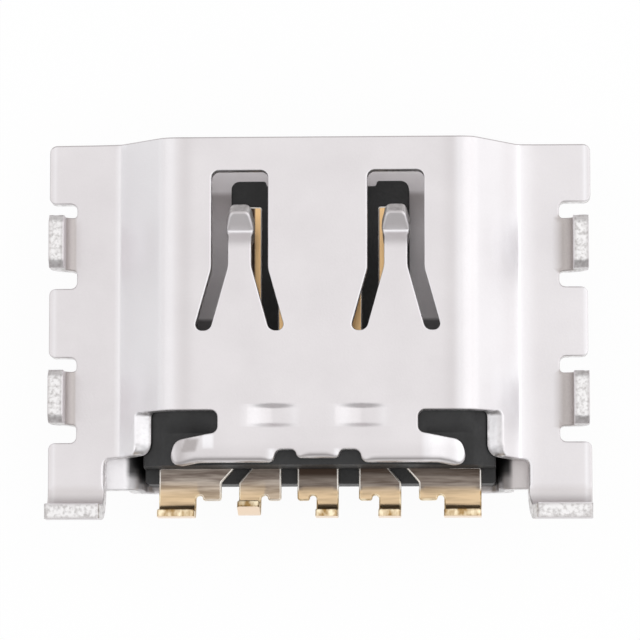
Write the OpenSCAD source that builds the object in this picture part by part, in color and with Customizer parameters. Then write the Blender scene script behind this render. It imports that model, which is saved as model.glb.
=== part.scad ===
// Mid-mount charging port: a five-contact receptacle that hangs in a cut-out of the board.
// It lies on its wide face. +Y points out of the mouth, +Z out of the narrow face.
// Places along the port are distances from the mouth edge, measured towards the tail.

/* [Shell] */
// Thickness of both folded shell sheets
sheet_t = 0.3; // [0.25:0.01:0.33]
// Inside width of the plug cavity at its wide face
cavity_w = 6.9; // [6.7:0.05:7.0]
// Inside height of the plug cavity
cavity_h = 1.85; // [1.75:0.05:2]
// Width of the narrow face between its corners
face_w = 5.86; // [5.6:0.02:6]
// Width between the creases where the slopes meet the flanges
crease_w = 7.8; // [7.7:0.05:8]
// Width over both flanges
flange_w = 10.5; // [10.3:0.05:11]
// Height of the flanges' upper faces, which seat on the board
flange_z = 1.66; // [1.5:0.01:1.75]
// Length of the flanges from the mouth to the fold of the tail lips
flange_l = 6.74; // [6.7:0.02:7]
// Inside radius of the folds between the face and the slopes
face_fold_r = 0.3; // [0.15:0.01:0.35]
// Inside radius of the creases
crease_r = 0.12; // [0.05:0.01:0.15]
// Radius of the flanges' outer corners
flange_corner_r = 0.14; // [0.05:0.01:0.2]

/* [Legs and lips] */
// Distance of the first pair of legs from the mouth
leg_1_d = 1.95; // [1.7:0.05:2.2]
// Distance of the second pair of legs from the mouth
leg_2_d = 4.95; // [4.7:0.05:5.2]
// Width of a leg
leg_w = 1.05; // [0.9:0.05:1.2]
// Height of a leg above the flange
leg_h = 0.65; // [0.55:0.05:0.8]
// Inside radius of the folds of legs and lips
leg_fold_r = 0.27; // [0.2:0.01:0.3]
// Chamfer at both corners of a leg's tip
leg_chamfer = 0.14; // [0.08:0.01:0.2]
// Free gap on each side of a leg
leg_gap = 0.3; // [0.2:0.02:0.36]
// Radius of the notches' inner corners
notch_r = 0.12; // [0.05:0.01:0.15]
// Height of a tail lip above the flange
lip_h = 0.7; // [0.6:0.05:0.8]

/* [Springs] */
// Distance of each spring from the middle
spring_x = 1.5; // [1.45:0.01:1.6]
// Width of the slot round the spring's free end
slot_w = 1.09; // [1:0.01:1.15]
// Start of the slot
slot_start = 0.665; // [0.55:0.005:0.8]
// Where the slot's two arms begin to spread
slot_knee = 2.52; // [2.4:0.02:2.7]
// Closed end of the slot's arms
slot_end = 3.71; // [3.5:0.01:3.9]
// Width of each arm of the slot
slot_arm_w = 0.31; // [0.25:0.01:0.33]
// Offset of the arms' closed ends from the spring's middle
slot_spread = 0.715; // [0.66:0.005:0.76]
// Corner radius at the slot's start
slot_r = 0.14; // [0.08:0.01:0.2]
// Width of the spring's stem
stem_w = 0.45; // [0.38:0.01:0.5]
// Where the stem turns down into the cavity
stem_end = 2.16; // [2.1:0.01:2.3]
// Length of the part that turns down
dip_l = 0.18; // [0.1:0.01:0.3]
// Angle of the part that turns down
dip_a = 35; // [20:1:40]
// Length of the turned-up nose
nose_l = 0.36; // [0.3:0.01:0.45]
// Angle of the turned-up nose
nose_a = 28; // [20:1:32]
// Greatest width of the nose
nose_w = 0.52; // [0.46:0.01:0.6]
// Width of the nose's tip
nose_tip_w = 0.32; // [0.25:0.01:0.4]
// Inside radius of the spring's folds
spring_fold_r = 0.05; // [0.03:0.01:0.08]

/* [Bridges and tail of the upper shell] */
// Distance of each pressed bridge from the middle
bridge_x = 0.85; // [0.8:0.01:0.95]
// Length of a bridge across the face
bridge_w = 1.03; // [0.9:0.01:1.1]
// Width of a bridge
bridge_l = 0.37; // [0.3:0.01:0.42]
// Distance of the bridges' middle from the mouth
bridge_d = 5.345; // [5.3:0.005:5.42]
// Depth of a bridge at its middle
bridge_dip = 0.12; // [0.08:0.01:0.16]
// Width of the shear cuts along a bridge
shear_gap = 0.02; // [0.01:0.005:0.03]
// Start of the L-shaped openings
opening_start = 5.24; // [5.15:0.01:5.35]
// Start of the ears behind the openings
ear_start = 5.7; // [5.6:0.01:5.8]
// Distance of the openings' inner ends from the middle
opening_in = 1.92; // [1.8:0.01:2.1]
// Distance of the openings' outer edges from the middle, on the slopes' outer faces
opening_out = 3.53; // [3.4:0.01:3.6]
// Corner radius of the openings
opening_r = 0.13; // [0.08:0.01:0.2]
// Reach of the ears from the middle
ear_reach = 2.82; // [2.7:0.01:2.95]
// Radius of the ears' outer corners
ear_r = 0.34; // [0.2:0.01:0.4]
// Angle by which the ears are pressed down
ear_a = 10; // [6:1:13]
// Tail edge of the face
face_end = 6.22; // [6.15:0.01:6.35]
// Tail edge of the slopes
slope_end = 6.03; // [5.95:0.01:6.15]
// Distance of each tail notch from the middle
tail_notch_x = 0.62; // [0.55:0.01:0.7]
// Width of a tail notch
tail_notch_w = 0.44; // [0.35:0.01:0.5]
// Depth of a tail notch
tail_notch_l = 0.24; // [0.15:0.01:0.3]
// Set-back of the tail edge between the two notches
tail_step = 0.08; // [0.04:0.01:0.12]
// Distance of the flanges' inner edges from the middle behind the slopes
flange_in = 4.14; // [4.12:0.01:4.2]

/* [Lower shell] */
// Length of the lower shell
tray_l = 6.7; // [6.65:0.01:6.74]
// Width over the lower shell's flanges
tray_w = 9.2; // [9:0.05:9.3]
// Inside radius of the folds between its walls and flanges
tray_fold_r = 0.3; // [0.2:0.01:0.32]
// Inside radius of the folds between its floor and walls
floor_fold_r = 0.14; // [0.08:0.01:0.15]
// Width of the relief in its tail edge
relief_w = 5; // [4.6:0.1:5.4]
// Depth of the relief in its tail edge
relief_l = 0.25; // [0.15:0.01:0.35]

/* [Housing] */
// Clearance between the housing and the shell
housing_gap = 0.02; // [0.01:0.005:0.05]
// Clearance on each side of the block
side_gap = 0.05; // [0.02:0.01:0.1]
// Start of the block that closes the cavity
block_start = 4.95; // [4.8:0.01:5.05]
// Tail face of the block
block_end = 6.29; // [6.2:0.01:6.32]
// Tail face of the ledge below the leads
ledge_end = 6.58; // [6.5:0.01:6.7]
// Room round a pressed bridge or ear
press_gap = 0.05; // [0.03:0.01:0.06]
// Front edge of the tongue
tongue_start = 0.68; // [0.6:0.01:0.8]
// Width of the tongue
tongue_w = 3.46; // [3.3:0.02:3.7]
// Thickness of the tongue
tongue_t = 0.6; // [0.5:0.01:0.65]
// Corner radius of the tongue's front
tongue_r = 0.16; // [0.1:0.01:0.25]
// Width of the shallow recess in the tongue's front edge
lip_recess_w = 2.2; // [2:0.05:2.4]
// Depth of the shallow recess in the tongue's front edge
lip_recess_l = 0.1; // [0.05:0.01:0.15]
// Chamfer along the tongue's front edge
tongue_chamfer = 0.1; // [0.05:0.01:0.14]

/* [Contacts] */
// Pitch of the contacts on the tongue
pitch = 0.65; // [0.62:0.01:0.68]
// Width of a contact on the tongue
contact_w = 0.35; // [0.28:0.01:0.4]
// Thickness of the contact strip
contact_t = 0.15; // [0.12:0.01:0.18]
// Height of the contacts' upper faces
contact_z = 1.34; // [1.28:0.01:1.4]
// Height by which the contacts stand above the tongue
contact_proud = 0.02; // [0.01:0.005:0.04]
// Front end of the contacts
contact_start = 1.18; // [1:0.02:1.3]
// Where the contacts begin to fan out inside the block
fan_d = 5.84; // [5.7:0.01:6]
// Inside radius of the fold of a solder tail
tail_fold_r = 0.25; // [0.2:0.01:0.28]
// Height of the solder tails above the leads
tail_h = 0.55; // [0.45:0.01:0.65]
// Where the solder tails turn up
tail_d = 6.85; // [6.8:0.01:6.9]
// End of the cut-off stubs beside the solder tails
stub_end = 6.92; // [6.9:0.01:7]
// Width of the round relief between tail and stub
stub_relief_w = 0.12; // [0.1:0.01:0.18]
// Start of the outer plates' square shoulders
shoulder_d = 6.33; // [6.25:0.01:6.4]
// End of the slanted arms
arm_end = 6.56; // [6.5:0.01:6.6]
// Width of the outer plates
outer_plate_w = 1.21; // [1.1:0.01:1.3]
// Distance of the outer plates' middles from the middle
outer_plate_x = 2.515; // [2.48:0.005:2.55]
// Width of the outer solder tails
outer_tail_w = 0.72; // [0.6:0.01:0.76]
// Width of the second plates from each side
inner_plate_w = 0.82; // [0.76:0.01:0.86]
// Distance of those plates' middles from the middle
inner_plate_x = 1.16; // [1.14:0.005:1.18]
// Width of their solder tails, and of the middle one
inner_tail_w = 0.43; // [0.36:0.01:0.46]
// Width of the middle plate
mid_plate_w = 0.8; // [0.74:0.01:0.84]
// Offset of the middle plate's middle to the left
mid_plate_shift = 0.04; // [0.02:0.005:0.06]

/* [Hidden] */
$fn = 64;

// Spare length by which cutters pass the faces that they open
over = 1;
// Length by which a folded tab reaches back into the sheet that it is part of
lap = sheet_t / 3;
contact_count = 5;
middle = (contact_count + 1) / 2;

shell_h = cavity_h + 2 * sheet_t;
total_l = flange_l + leg_fold_r + sheet_t;
slope_a = atan2(shell_h - flange_z, (crease_w - face_w) / 2);
face_tangent = face_w / 2 - (face_fold_r + sheet_t) * tan(slope_a / 2);
crease_tangent = crease_w / 2 + crease_r * tan(slope_a / 2);
slope_l = (crease_w - face_w) / 2 / cos(slope_a)
    - (face_fold_r + sheet_t + crease_r) * tan(slope_a / 2);
leg_root = flange_w / 2 - sheet_t - leg_fold_r;
lip_w = flange_w / 2 - flange_in;
ear_root = opening_in + 1.25 * opening_r;
notch_w = leg_w + 2 * leg_gap;
legs_d = [leg_1_d, leg_2_d];
dip_run = (2 * spring_fold_r + sheet_t) * sin(dip_a) + dip_l * cos(dip_a)
    + spring_fold_r * sin(nose_a);
nose_run = nose_l * cos(nose_a) + sheet_t * sin(nose_a);
face_under = shell_h - sheet_t;
flange_under = flange_z - sheet_t;
tray_outer_r = tray_fold_r + sheet_t;
tray_wall_h = flange_under - sheet_t - floor_fold_r - tray_outer_r;
block_w = cavity_w - 2 * side_gap;
contact_under = contact_z - contact_t;
tongue_top = contact_z - contact_proud;

// Y of a place at distance d from the mouth edge
function y_at(d) = total_l / 2 - d;
// X of contact i on the tongue
function contact_x(i) = (i - middle) * pitch;
// Side on which contact i has its solder tail
function side(i) = i < middle ? -1 : 1;
// Size and place of contact i's lead: plate width, plate middle, tail width
function lead(i) = abs(i - middle) > 1 ? [outer_plate_w, outer_plate_x, outer_tail_w]
    : i == middle ? [mid_plate_w, -mid_plate_shift, inner_tail_w]
    : [inner_plate_w, inner_plate_x, inner_tail_w];

// Both halves of something drawn at +X
module pair() {
    children();
    mirror([1, 0, 0]) children();
}

// Flat outline at distances from the mouth edge, raised from z0 to z1
module prism(z0, z1) {
    translate([0, y_at(0), z0]) linear_extrude(z1 - z0) children();
}

// Rectangle from x0 to x1 and from distance d0 to d1
module area(x0, x1, d0, d1) {
    translate([x0, -d1]) square([x1 - x0, d1 - d0]);
}

// The same rectangle with four rounded corners
module soft_area(x0, x1, d0, d1, r) {
    area(x0 + r, x1 - r, d0, d1);
    area(x0, x1, d0 + r, d1 - r);
    for (x = [x0 + r, x1 - r], d = [d0 + r, d1 - r]) translate([x, -d]) circle(r);
}

// Ring sector of a folded strip: inside radius r, sheet t, turned by a, w long on its axis
module sector(a, r, w, t) {
    rotate_extrude(angle = a) translate([r, 0]) square([t, w]);
}

// Core inside a sheet across the line where a flat stretch meets a fold, so that the two overlap
module core(w, t) {
    translate([-t / 4, t / 3, -t * 2 / 3]) cube([t / 2, w - t * 2 / 3, t / 3]);
}

// Strip of sheet from the origin along +X, upper face at z = 0, width w along +Y.
// Each step is [flat length, angle turned up after it, inside radius of that fold].
module strip(steps, w, t, i = 0) {
    run = steps[i][0];
    turn = steps[i][1];
    r = steps[i][2];
    pivot = turn > 0 ? r : -t - r;
    if (run > 0) translate([0, 0, -t]) cube([run, w, t]);
    translate([run, 0, 0]) {
        if (turn > 0) translate([0, w, r]) rotate([0, 90, -90]) sector(turn, r, w, t);
        if (turn < 0) translate([0, 0, pivot]) rotate([0, -90, -90]) sector(-turn, r, w, t);
        if (run > 0 && turn != 0) core(w, t);
        if (i + 1 < len(steps))
            translate([0, 0, pivot]) rotate([0, -turn, 0]) translate([0, 0, -pivot]) {
                core(w, t);
                strip(steps, w, t, i + 1);
            }
    }
}

// Right half of the upper shell's folded section, trimmed to the flange's outline
module upper_section() {
    intersection() {
        translate([0, y_at(flange_l), shell_h])
            strip([[face_tangent, -slope_a, face_fold_r], [slope_l, slope_a, crease_r],
                   [flange_w / 2 - crease_tangent + over, 0, 0]], flange_l + over, sheet_t);
        prism(0, shell_h + over)
            soft_area(-flange_w / 2, flange_w / 2, 0, flange_l + over, flange_corner_r);
    }
}

// Slot round a spring: a round-cornered window with two arms that spread beside the stem
module slot_area() {
    arm_d = slot_end - slot_arm_w / 2;
    area(-slot_w / 2 + slot_r, slot_w / 2 - slot_r, slot_start, stem_end);
    area(-slot_w / 2, slot_w / 2, slot_start + slot_r, stem_end);
    for (x = [-1, 1] * (slot_w / 2 - slot_r)) translate([x, -slot_start - slot_r]) circle(slot_r);
    for (s = [0, 1]) mirror([s, 0]) {
        area(stem_w / 2, slot_w / 2, stem_end - slot_r, slot_knee);
        polygon([[stem_w / 2, -slot_knee], [slot_w / 2, -slot_knee],
                 [slot_spread + slot_arm_w / 2, -arm_d], [slot_spread - slot_arm_w / 2, -arm_d]]);
        translate([slot_spread, -arm_d]) circle(slot_arm_w / 2);
    }
}

// Outline of a spring's free end, from the stem to the rounded nose
module nose_area() {
    tip_d = stem_end - dip_run - nose_run;
    wide_d = tip_d + nose_run * 2 / 3;
    round_r = nose_tip_w / 2;
    polygon([[-stem_w / 2, -stem_end - over], [stem_w / 2, -stem_end - over],
             [stem_w / 2, -stem_end], [nose_w / 2, -wide_d], [round_r, -tip_d - round_r],
             [-round_r, -tip_d - round_r], [-nose_w / 2, -wide_d], [-stem_w / 2, -stem_end]]);
    translate([0, -tip_d - round_r]) circle(round_r);
}

// Free end of a spring: down into the cavity, then a nose turned up again
module spring_end() {
    intersection() {
        translate([nose_w, y_at(stem_end + lap), shell_h]) rotate([0, 0, 90])
            strip([[lap, -dip_a, spring_fold_r], [dip_l, dip_a + nose_a, spring_fold_r],
                   [nose_l, 0, 0]], 2 * nose_w, sheet_t);
        prism(flange_z, shell_h + over) nose_area();
    }
}

// Lanced bridge: the strip between two cuts, pressed down as a shallow V
module bridge() {
    translate([0, y_at(bridge_d) + bridge_l / 2, shell_h]) rotate([90, 0, 0])
        linear_extrude(bridge_l)
            for (s = [0, 1]) mirror([s, 0])
                polygon([[0, -bridge_dip], [0, -bridge_dip - sheet_t], [bridge_w / 2, -sheet_t],
                         [bridge_w / 2 + lap, -sheet_t], [bridge_w / 2 + lap, 0],
                         [bridge_w / 2, 0]]);
}

// Ear behind an L-shaped opening, pressed down from its root
module ear() {
    corner = min(ear_r, face_end - ear_start - opening_r);
    intersection() {
        translate([ear_root - lap, y_at(face_end), shell_h])
            strip([[lap, -ear_a, face_fold_r], [ear_reach - ear_root + over, 0, 0]],
                  face_end - ear_start, sheet_t);
        prism(flange_z, shell_h + over) {
            area(0, ear_reach - corner, ear_start - over, face_end + over);
            area(0, ear_reach, ear_start + corner, face_end - opening_r);
            area(0, ear_reach - opening_r, ear_start + corner, face_end + over);
            translate([ear_reach - corner, -ear_start - corner]) circle(corner);
            translate([ear_reach - opening_r, -face_end + opening_r]) circle(opening_r);
        }
    }
}

// Everything cut from the right half of the upper shell's section
module upper_cuts() {
    prism(0, shell_h + over) {
        translate([spring_x, 0]) slot_area();
        area(bridge_x - bridge_w / 2, bridge_x + bridge_w / 2,
             bridge_d - bridge_l / 2 - shear_gap, bridge_d + bridge_l / 2 + shear_gap);
        soft_area(opening_in, face_w / 2 + opening_r, opening_start, ear_start, opening_r);
        area(ear_root, face_w / 2, ear_start - opening_r, face_end + over);
        area(opening_out - over, flange_in, slope_end, flange_l + over);
        area(-over, opening_in + over, face_end, flange_l + over);
        area(-over, tail_notch_x, face_end - tail_step, face_end + over);
        soft_area(tail_notch_x - tail_notch_w / 2, tail_notch_x + tail_notch_w / 2,
                  face_end - tail_notch_l, face_end + over, opening_r);
        for (d = legs_d)
            soft_area(leg_root, flange_w / 2 + over, d - notch_w / 2, d + notch_w / 2, notch_r);
    }
    // On the slopes the openings are cut square to the sheet
    translate([opening_out, y_at(0), shell_h - (opening_out - face_w / 2) * tan(slope_a)])
        rotate([0, slope_a, 0]) translate([0, 0, -over]) linear_extrude(2 * over)
            soft_area(-slope_l - opening_r, 0, opening_start, flange_l + over, opening_r);
}

// Leg or lip: a tab of width w folded up from x = 0, with its tip at height h
module tab(w, h, chamfer) {
    intersection() {
        translate([-lap, -w / 2, 0])
            strip([[lap, 90, leg_fold_r], [h - leg_fold_r, 0, 0]], w, sheet_t);
        translate([-lap, 0, 0]) rotate([90, 0, 90]) linear_extrude(lap + leg_fold_r + sheet_t)
            polygon([[-w / 2, -sheet_t], [w / 2, -sheet_t], [w / 2, h - chamfer],
                     [w / 2 - chamfer, h], [chamfer - w / 2, h], [-w / 2, h - chamfer]]);
    }
}

module upper_shell() {
    color("gainsboro") pair() {
        difference() {
            upper_section();
            upper_cuts();
        }
        translate([spring_x, 0, 0]) spring_end();
        translate([bridge_x, 0, 0]) bridge();
        ear();
        for (d = legs_d) translate([leg_root, y_at(d), flange_z]) tab(leg_w, leg_h, leg_chamfer);
        translate([flange_w / 2 - lip_w / 2, y_at(flange_l), flange_z]) rotate([0, 0, -90])
            tab(lip_w, lip_h, leg_chamfer / 4);
    }
}

module lower_shell() {
    color("silver") difference() {
        pair() translate([0, y_at(tray_l), sheet_t])
            strip([[cavity_w / 2 - floor_fold_r, 90, floor_fold_r],
                   [tray_wall_h, -90, tray_fold_r],
                   [tray_w / 2 - cavity_w / 2 - tray_outer_r, 0, 0]], tray_l, sheet_t);
        prism(-over, sheet_t + over)
            soft_area(-relief_w / 2, relief_w / 2, tray_l - relief_l, tray_l + over, opening_r);
    }
}

// D-shaped section of the housing's block, inside both shells by the clearance
module block_section() {
    r = face_fold_r - housing_gap;
    fold_z = face_under - face_fold_r;
    slope_x = face_tangent + r * sin(slope_a);
    slope_z = fold_z + r * cos(slope_a);
    side_z = slope_z - (block_w / 2 - slope_x) * tan(slope_a);
    bottom = sheet_t + housing_gap;
    for (s = [0, 1]) mirror([s, 0]) {
        polygon([[0, bottom], [block_w / 2 - floor_fold_r, bottom],
                 [block_w / 2, bottom + floor_fold_r], [block_w / 2, side_z], [slope_x, slope_z],
                 [face_tangent, fold_z + r], [0, fold_z + r]]);
        translate([face_tangent, fold_z]) circle(r);
        translate([block_w / 2 - floor_fold_r, bottom + floor_fold_r]) circle(floor_fold_r);
    }
}

// The block's section from distance d0 to d1
module block(d0, d1) {
    translate([0, y_at(d0), 0]) rotate([90, 0, 0]) linear_extrude(d1 - d0) block_section();
}

// Tongue with rounded front corners, a shallow recess and a chamfered front edge
module tongue() {
    difference() {
        prism(tongue_top - tongue_t, tongue_top) difference() {
            union() {
                soft_area(-tongue_w / 2, tongue_w / 2, tongue_start, block_start, tongue_r);
                area(-tongue_w / 2, tongue_w / 2, block_start - over, block_start);
            }
            area(-lip_recess_w / 2, lip_recess_w / 2, 0, tongue_start + lip_recess_l);
        }
        translate([-tongue_w / 2, y_at(tongue_start + tongue_chamfer), tongue_top - tongue_t])
            rotate([90, 0, 90]) linear_extrude(tongue_w)
                polygon([[0, 0], [tongue_chamfer, 0], [tongue_chamfer, tongue_chamfer]]);
    }
}

module housing() {
    color("dimgray") difference() {
        union() {
            tongue();
            block(block_start, block_end);
            intersection() {
                block(block_end, ledge_end);
                prism(0, contact_under) area(-block_w, block_w, 0, ledge_end);
            }
        }
        for (i = [1 : contact_count]) {
            contact_strip(i);
            contact_lead(i);
        }
        pair() {
            prism(face_under - bridge_dip - press_gap, shell_h)
                area(bridge_x - bridge_w / 2 - press_gap, bridge_x + bridge_w / 2 + press_gap,
                     bridge_d - bridge_l / 2 - press_gap, bridge_d + bridge_l / 2 + press_gap);
            prism(face_under - (ear_reach - ear_root) * tan(ear_a) - press_gap, shell_h)
                area(ear_root - press_gap, cavity_w / 2, ear_start - press_gap, block_end + over);
        }
    }
}

// Straight stretch of contact i, from its front end to where it fans out
module contact_strip(i) {
    x = contact_x(i);
    prism(contact_under, contact_z)
        area(x - contact_w / 2, x + contact_w / 2, contact_start, fan_d);
}

// Flat lead of contact i
module contact_lead(i) {
    mirror([side(i) < 0 ? 1 : 0, 0, 0]) prism(contact_under, contact_z) lead_area(i);
}

// Flat lead of contact i, drawn with its solder tail on the right: arm, plate and stub
module lead_area(i) {
    s = side(i);
    plate_w = lead(i)[0];
    plate_x = i == middle ? lead(i)[1] : abs(lead(i)[1]);
    tail_w = lead(i)[2];
    x = s * contact_x(i);
    inner = plate_x - plate_w / 2;
    outer = plate_x + plate_w / 2;
    is_outer = abs(i - middle) > 1;
    difference() {
        union() {
            area(x - contact_w / 2, x + contact_w / 2, fan_d - lap, fan_d);
            polygon([[x - contact_w / 2, -fan_d], [inner, -(is_outer ? arm_end : shoulder_d)],
                     [inner, -tail_d], [outer, -tail_d],
                     each (is_outer ? [[outer, -shoulder_d], [plate_x, -shoulder_d]]
                         : i == middle ? [[outer, -shoulder_d]] : [[outer, -arm_end]]),
                     [x + contact_w / 2, -fan_d]]);
            area(inner, outer - tail_w - stub_relief_w, tail_d - lap, stub_end);
        }
        translate([outer - tail_w - stub_relief_w / 2, -tail_d]) circle(stub_relief_w / 2);
    }
}

// Contact i: strip on the tongue, fanned-out lead and solder tail turned up
module contact(i) {
    s = side(i);
    tail_w = lead(i)[2];
    plate_x = i == middle ? lead(i)[1] : abs(lead(i)[1]);
    outer = plate_x + lead(i)[0] / 2;
    color("goldenrod") {
        contact_strip(i);
        contact_lead(i);
        mirror([s < 0 ? 1 : 0, 0, 0])
            translate([outer - tail_w, y_at(tail_d - lap), contact_z]) rotate([0, 0, -90])
                strip([[lap, 90, tail_fold_r], [tail_h - tail_fold_r, 0, 0]], tail_w, contact_t);
    }
}

module contact_1() { contact(1); }
module contact_2() { contact(2); }
module contact_3() { contact(3); }
module contact_4() { contact(4); }
module contact_5() { contact(5); }

upper_shell();
lower_shell();
housing();
contact_1();
contact_2();
contact_3();
contact_4();
contact_5();
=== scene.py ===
"""Looks of the charging port: folded shells, black housing and gold-plated contacts on a pale studio floor.

Every piece is a flat blank with a stamped rim that is folded by formula, in metres and in the frame of the
CAD part: +X across the port, +Y out of its mouth, +Z out of its narrow face.
"""

from math import pi, radians

import bpy
import numpy as np
from mathutils import Matrix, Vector
from mathutils.geometry import delaunay_2d_cdt


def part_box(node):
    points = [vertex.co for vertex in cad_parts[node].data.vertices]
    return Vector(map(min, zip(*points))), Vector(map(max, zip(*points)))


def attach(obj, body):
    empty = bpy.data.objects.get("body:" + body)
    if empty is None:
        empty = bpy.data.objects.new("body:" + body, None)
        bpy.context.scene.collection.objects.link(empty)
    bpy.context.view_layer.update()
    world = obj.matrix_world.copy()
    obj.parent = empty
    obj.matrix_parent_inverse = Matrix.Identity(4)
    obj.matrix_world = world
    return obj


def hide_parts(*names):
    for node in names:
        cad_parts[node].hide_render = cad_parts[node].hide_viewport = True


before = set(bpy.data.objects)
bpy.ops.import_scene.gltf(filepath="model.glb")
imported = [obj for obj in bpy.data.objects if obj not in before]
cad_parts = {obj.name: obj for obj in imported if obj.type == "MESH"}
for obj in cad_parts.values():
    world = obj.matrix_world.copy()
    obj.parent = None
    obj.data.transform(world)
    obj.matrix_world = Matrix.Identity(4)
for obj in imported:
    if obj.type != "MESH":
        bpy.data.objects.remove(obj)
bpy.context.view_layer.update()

bl_info = {
    "name": "Charging port",
    "version": (1, 0, 0),
    "blender": (4, 5, 0),
    "location": "3D View > Sidebar > Port",
    "description": "Builds a mid-mount charging port from folded sheets",
    "category": "Add Mesh",
}

MM = 0.001
SHELL_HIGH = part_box("upper_shell")[1]
HALF_LENGTH = SHELL_HIGH.y
FACE_Z = SHELL_HIGH.z


# Properties


def length(label, value, about):
    """A length in metres, given here in millimetres."""
    return bpy.props.FloatProperty(
        name=label, description=about, default=value * MM, min=0.0, precision=6, subtype="DISTANCE", unit="LENGTH"
    )


def angle(label, value, about):
    """An angle in radians, given here in degrees."""
    return bpy.props.FloatProperty(
        name=label, description=about, default=radians(value), subtype="ANGLE", unit="ROTATION"
    )


def colour(label, value, about):
    """A linear base colour."""
    return bpy.props.FloatVectorProperty(
        name=label, description=about, default=value, size=3, min=0.0, max=1.0, subtype="COLOR"
    )


def share(label, value, about):
    """A number from nought to one."""
    return bpy.props.FloatProperty(
        name=label, description=about, default=value, min=0.0, max=1.0, subtype="FACTOR"
    )


class PortShellSizes(bpy.types.PropertyGroup):
    """Sizes of the upper shell."""

    sheet: length("Sheet", 0.3, "Thickness of both folded sheets")
    die_roll: length("Die roll", 0.03, "Radius to which the press rounds the upper edges")
    face_w: length("Face width", 5.86, "Width of the narrow face between its corners")
    crease_w: length("Crease width", 7.8, "Width between the creases where slopes meet flanges")
    flange_w: length("Flange width", 10.5, "Width over both flanges")
    flange_z: length("Flange height", 1.66, "Height of the flanges' upper faces")
    flange_l: length("Flange length", 6.74, "Mouth edge to the fold of the tail lips")
    face_fold: length("Face fold", 0.3, "Inside radius of the folds beside the face")
    crease_fold: length("Crease fold", 0.12, "Inside radius of the creases")
    corner: length("Flange corners", 0.14, "Radius of the flanges' outer corners")
    leg_1: length("First legs", 1.98, "Mouth edge to the middle of the first legs")
    leg_2: length("Second legs", 4.98, "Mouth edge to the middle of the second legs")
    leg_w: length("Leg width", 1.03, "Width of a leg")
    leg_shift: length("Leg offset", 0.04, "Middle of a left notch to the middle of its leg, towards the mouth")
    leg_h: length("Leg height", 0.65, "Height of a leg above the flange")
    leg_out: length("Leg place", 5.2, "Middle to the outer faces of the legs")
    leg_fold: length("Leg fold", 0.19, "Inside radius of the folds of the legs")
    lip_fold: length("Lip fold", 0.27, "Inside radius of the folds of the lips")
    ease_l: length("Crease ease", 0.5, "Width over which a flange levels out beside its crease")
    ease_a: angle("Crease ease angle", 6, "Tilt that a flange keeps beside its crease")
    mouth: length("Mouth edge", 0.035, "Length by which the rounded mouth edge stands out")
    mouth_step: length("Mouth step", 0.065, "Set-back of the flanges' mouth edges")
    leg_chamfer: length("Leg chamfer", 0.14, "Chamfer at the corners of a leg's tip")
    leg_gap: length("Leg gap", 0.31, "Free gap on each side of a leg")
    notch_r: length("Notch corners", 0.12, "Radius of the notches' inner corners")
    lip_h: length("Lip height", 0.7, "Height of a tail lip above the flange")
    lip_in: length("Lip inner edge", 4.155, "Middle to the inner edge of a tail lip")
    slope_end: length("Slope end", 6.12, "Mouth edge to the tail edge of the slopes")
    # Both bright lines are painted highlights; these are their places.
    line_1: length("First bright line", 3.803, "Middle to the brighter of two lines along the left crease")
    line_2: length("Second bright line", 3.885, "Middle to the fainter of two lines along the left crease")


class PortSpringSizes(bpy.types.PropertyGroup):
    """Sizes of the springs, bridges and ears that are cut in the face."""

    spring_x: length("Spring place", 1.5, "Middle of the port to the middle of a spring")
    slot_w: length("Slot width", 1.09, "Width of the slot round a spring's free end")
    slot_start: length("Slot start", 0.62, "Mouth edge to the start of a slot")
    slot_knee: length("Slot knee", 2.52, "Where a slot's arms begin to spread")
    slot_end: length("Slot end", 3.71, "Closed end of a slot's arms")
    arm_w: length("Arm width", 0.31, "Width of each arm of a slot")
    arm_spread: length("Arm spread", 0.715, "Spring's middle to the closed end of an arm")
    slot_r: length("Slot corners", 0.14, "Corner radius at a slot's start")
    stem_w: length("Stem width", 0.45, "Width of a spring's stem")
    stem_end: length("Stem end", 2.16, "Where the stem turns down into the cavity")
    dip_l: length("Dip length", 0.18, "Length of the part that turns down")
    dip_a: angle("Dip angle", 35, "Angle of the part that turns down")
    nose_l: length("Nose length", 0.4, "Length of the turned-up nose")
    nose_a: angle("Nose angle", 36, "Angle of the turned-up nose")
    nose_w: length("Nose width", 0.56, "Greatest width of the nose")
    tip_w: length("Tip width", 0.31, "Width of the nose's tip")
    fold: length("Spring fold", 0.05, "Inside radius of a spring's folds")
    bridge_x: length("Bridge place", 0.85, "Middle of the port to the middle of a bridge")
    bridge_w: length("Bridge length", 1.03, "Length of a bridge across the face")
    bridge_l: length("Bridge width", 0.37, "Width of a bridge along the port")
    bridge_d: length("Bridge distance", 5.345, "Mouth edge to the middle of the bridges")
    bridge_dip: length("Bridge dip", 0.09, "Depth of a bridge at its middle")
    shear: length("Shear", 0.11, "Width over which the metal is drawn down beside a bridge")
    opening_start: length("Opening start", 5.24, "Mouth edge to the L-shaped openings")
    opening_in: length("Opening inner end", 1.92, "Middle to the openings' inner ends")
    opening_out: length("Opening outer edge", 3.42, "Middle to the openings' outer edges")
    slant: length("Opening slant", 0.15, "Lean of the openings' outer walls")
    opening_r: length("Opening corners", 0.13, "Corner radius of the openings")
    ear_start: length("Ear start", 5.68, "Mouth edge to the ears' roots")
    ear_reach: length("Ear reach", 2.9, "Middle to the ears' tips")
    ear_a: angle("Ear angle", 12, "Angle by which the ears are pressed down")
    face_end: length("Face end", 6.235, "Mouth edge to the tail edge of the face")
    tail_notch_x: length("Tail notch place", 0.62, "Middle to the middle of a tail notch")
    tail_notch_w: length("Tail notch width", 0.44, "Width of a tail notch")
    tail_notch_l: length("Tail notch depth", 0.24, "Depth of a tail notch")
    tail_step: length("Tail step", 0.08, "Set-back of the tail edge between the notches")


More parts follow.
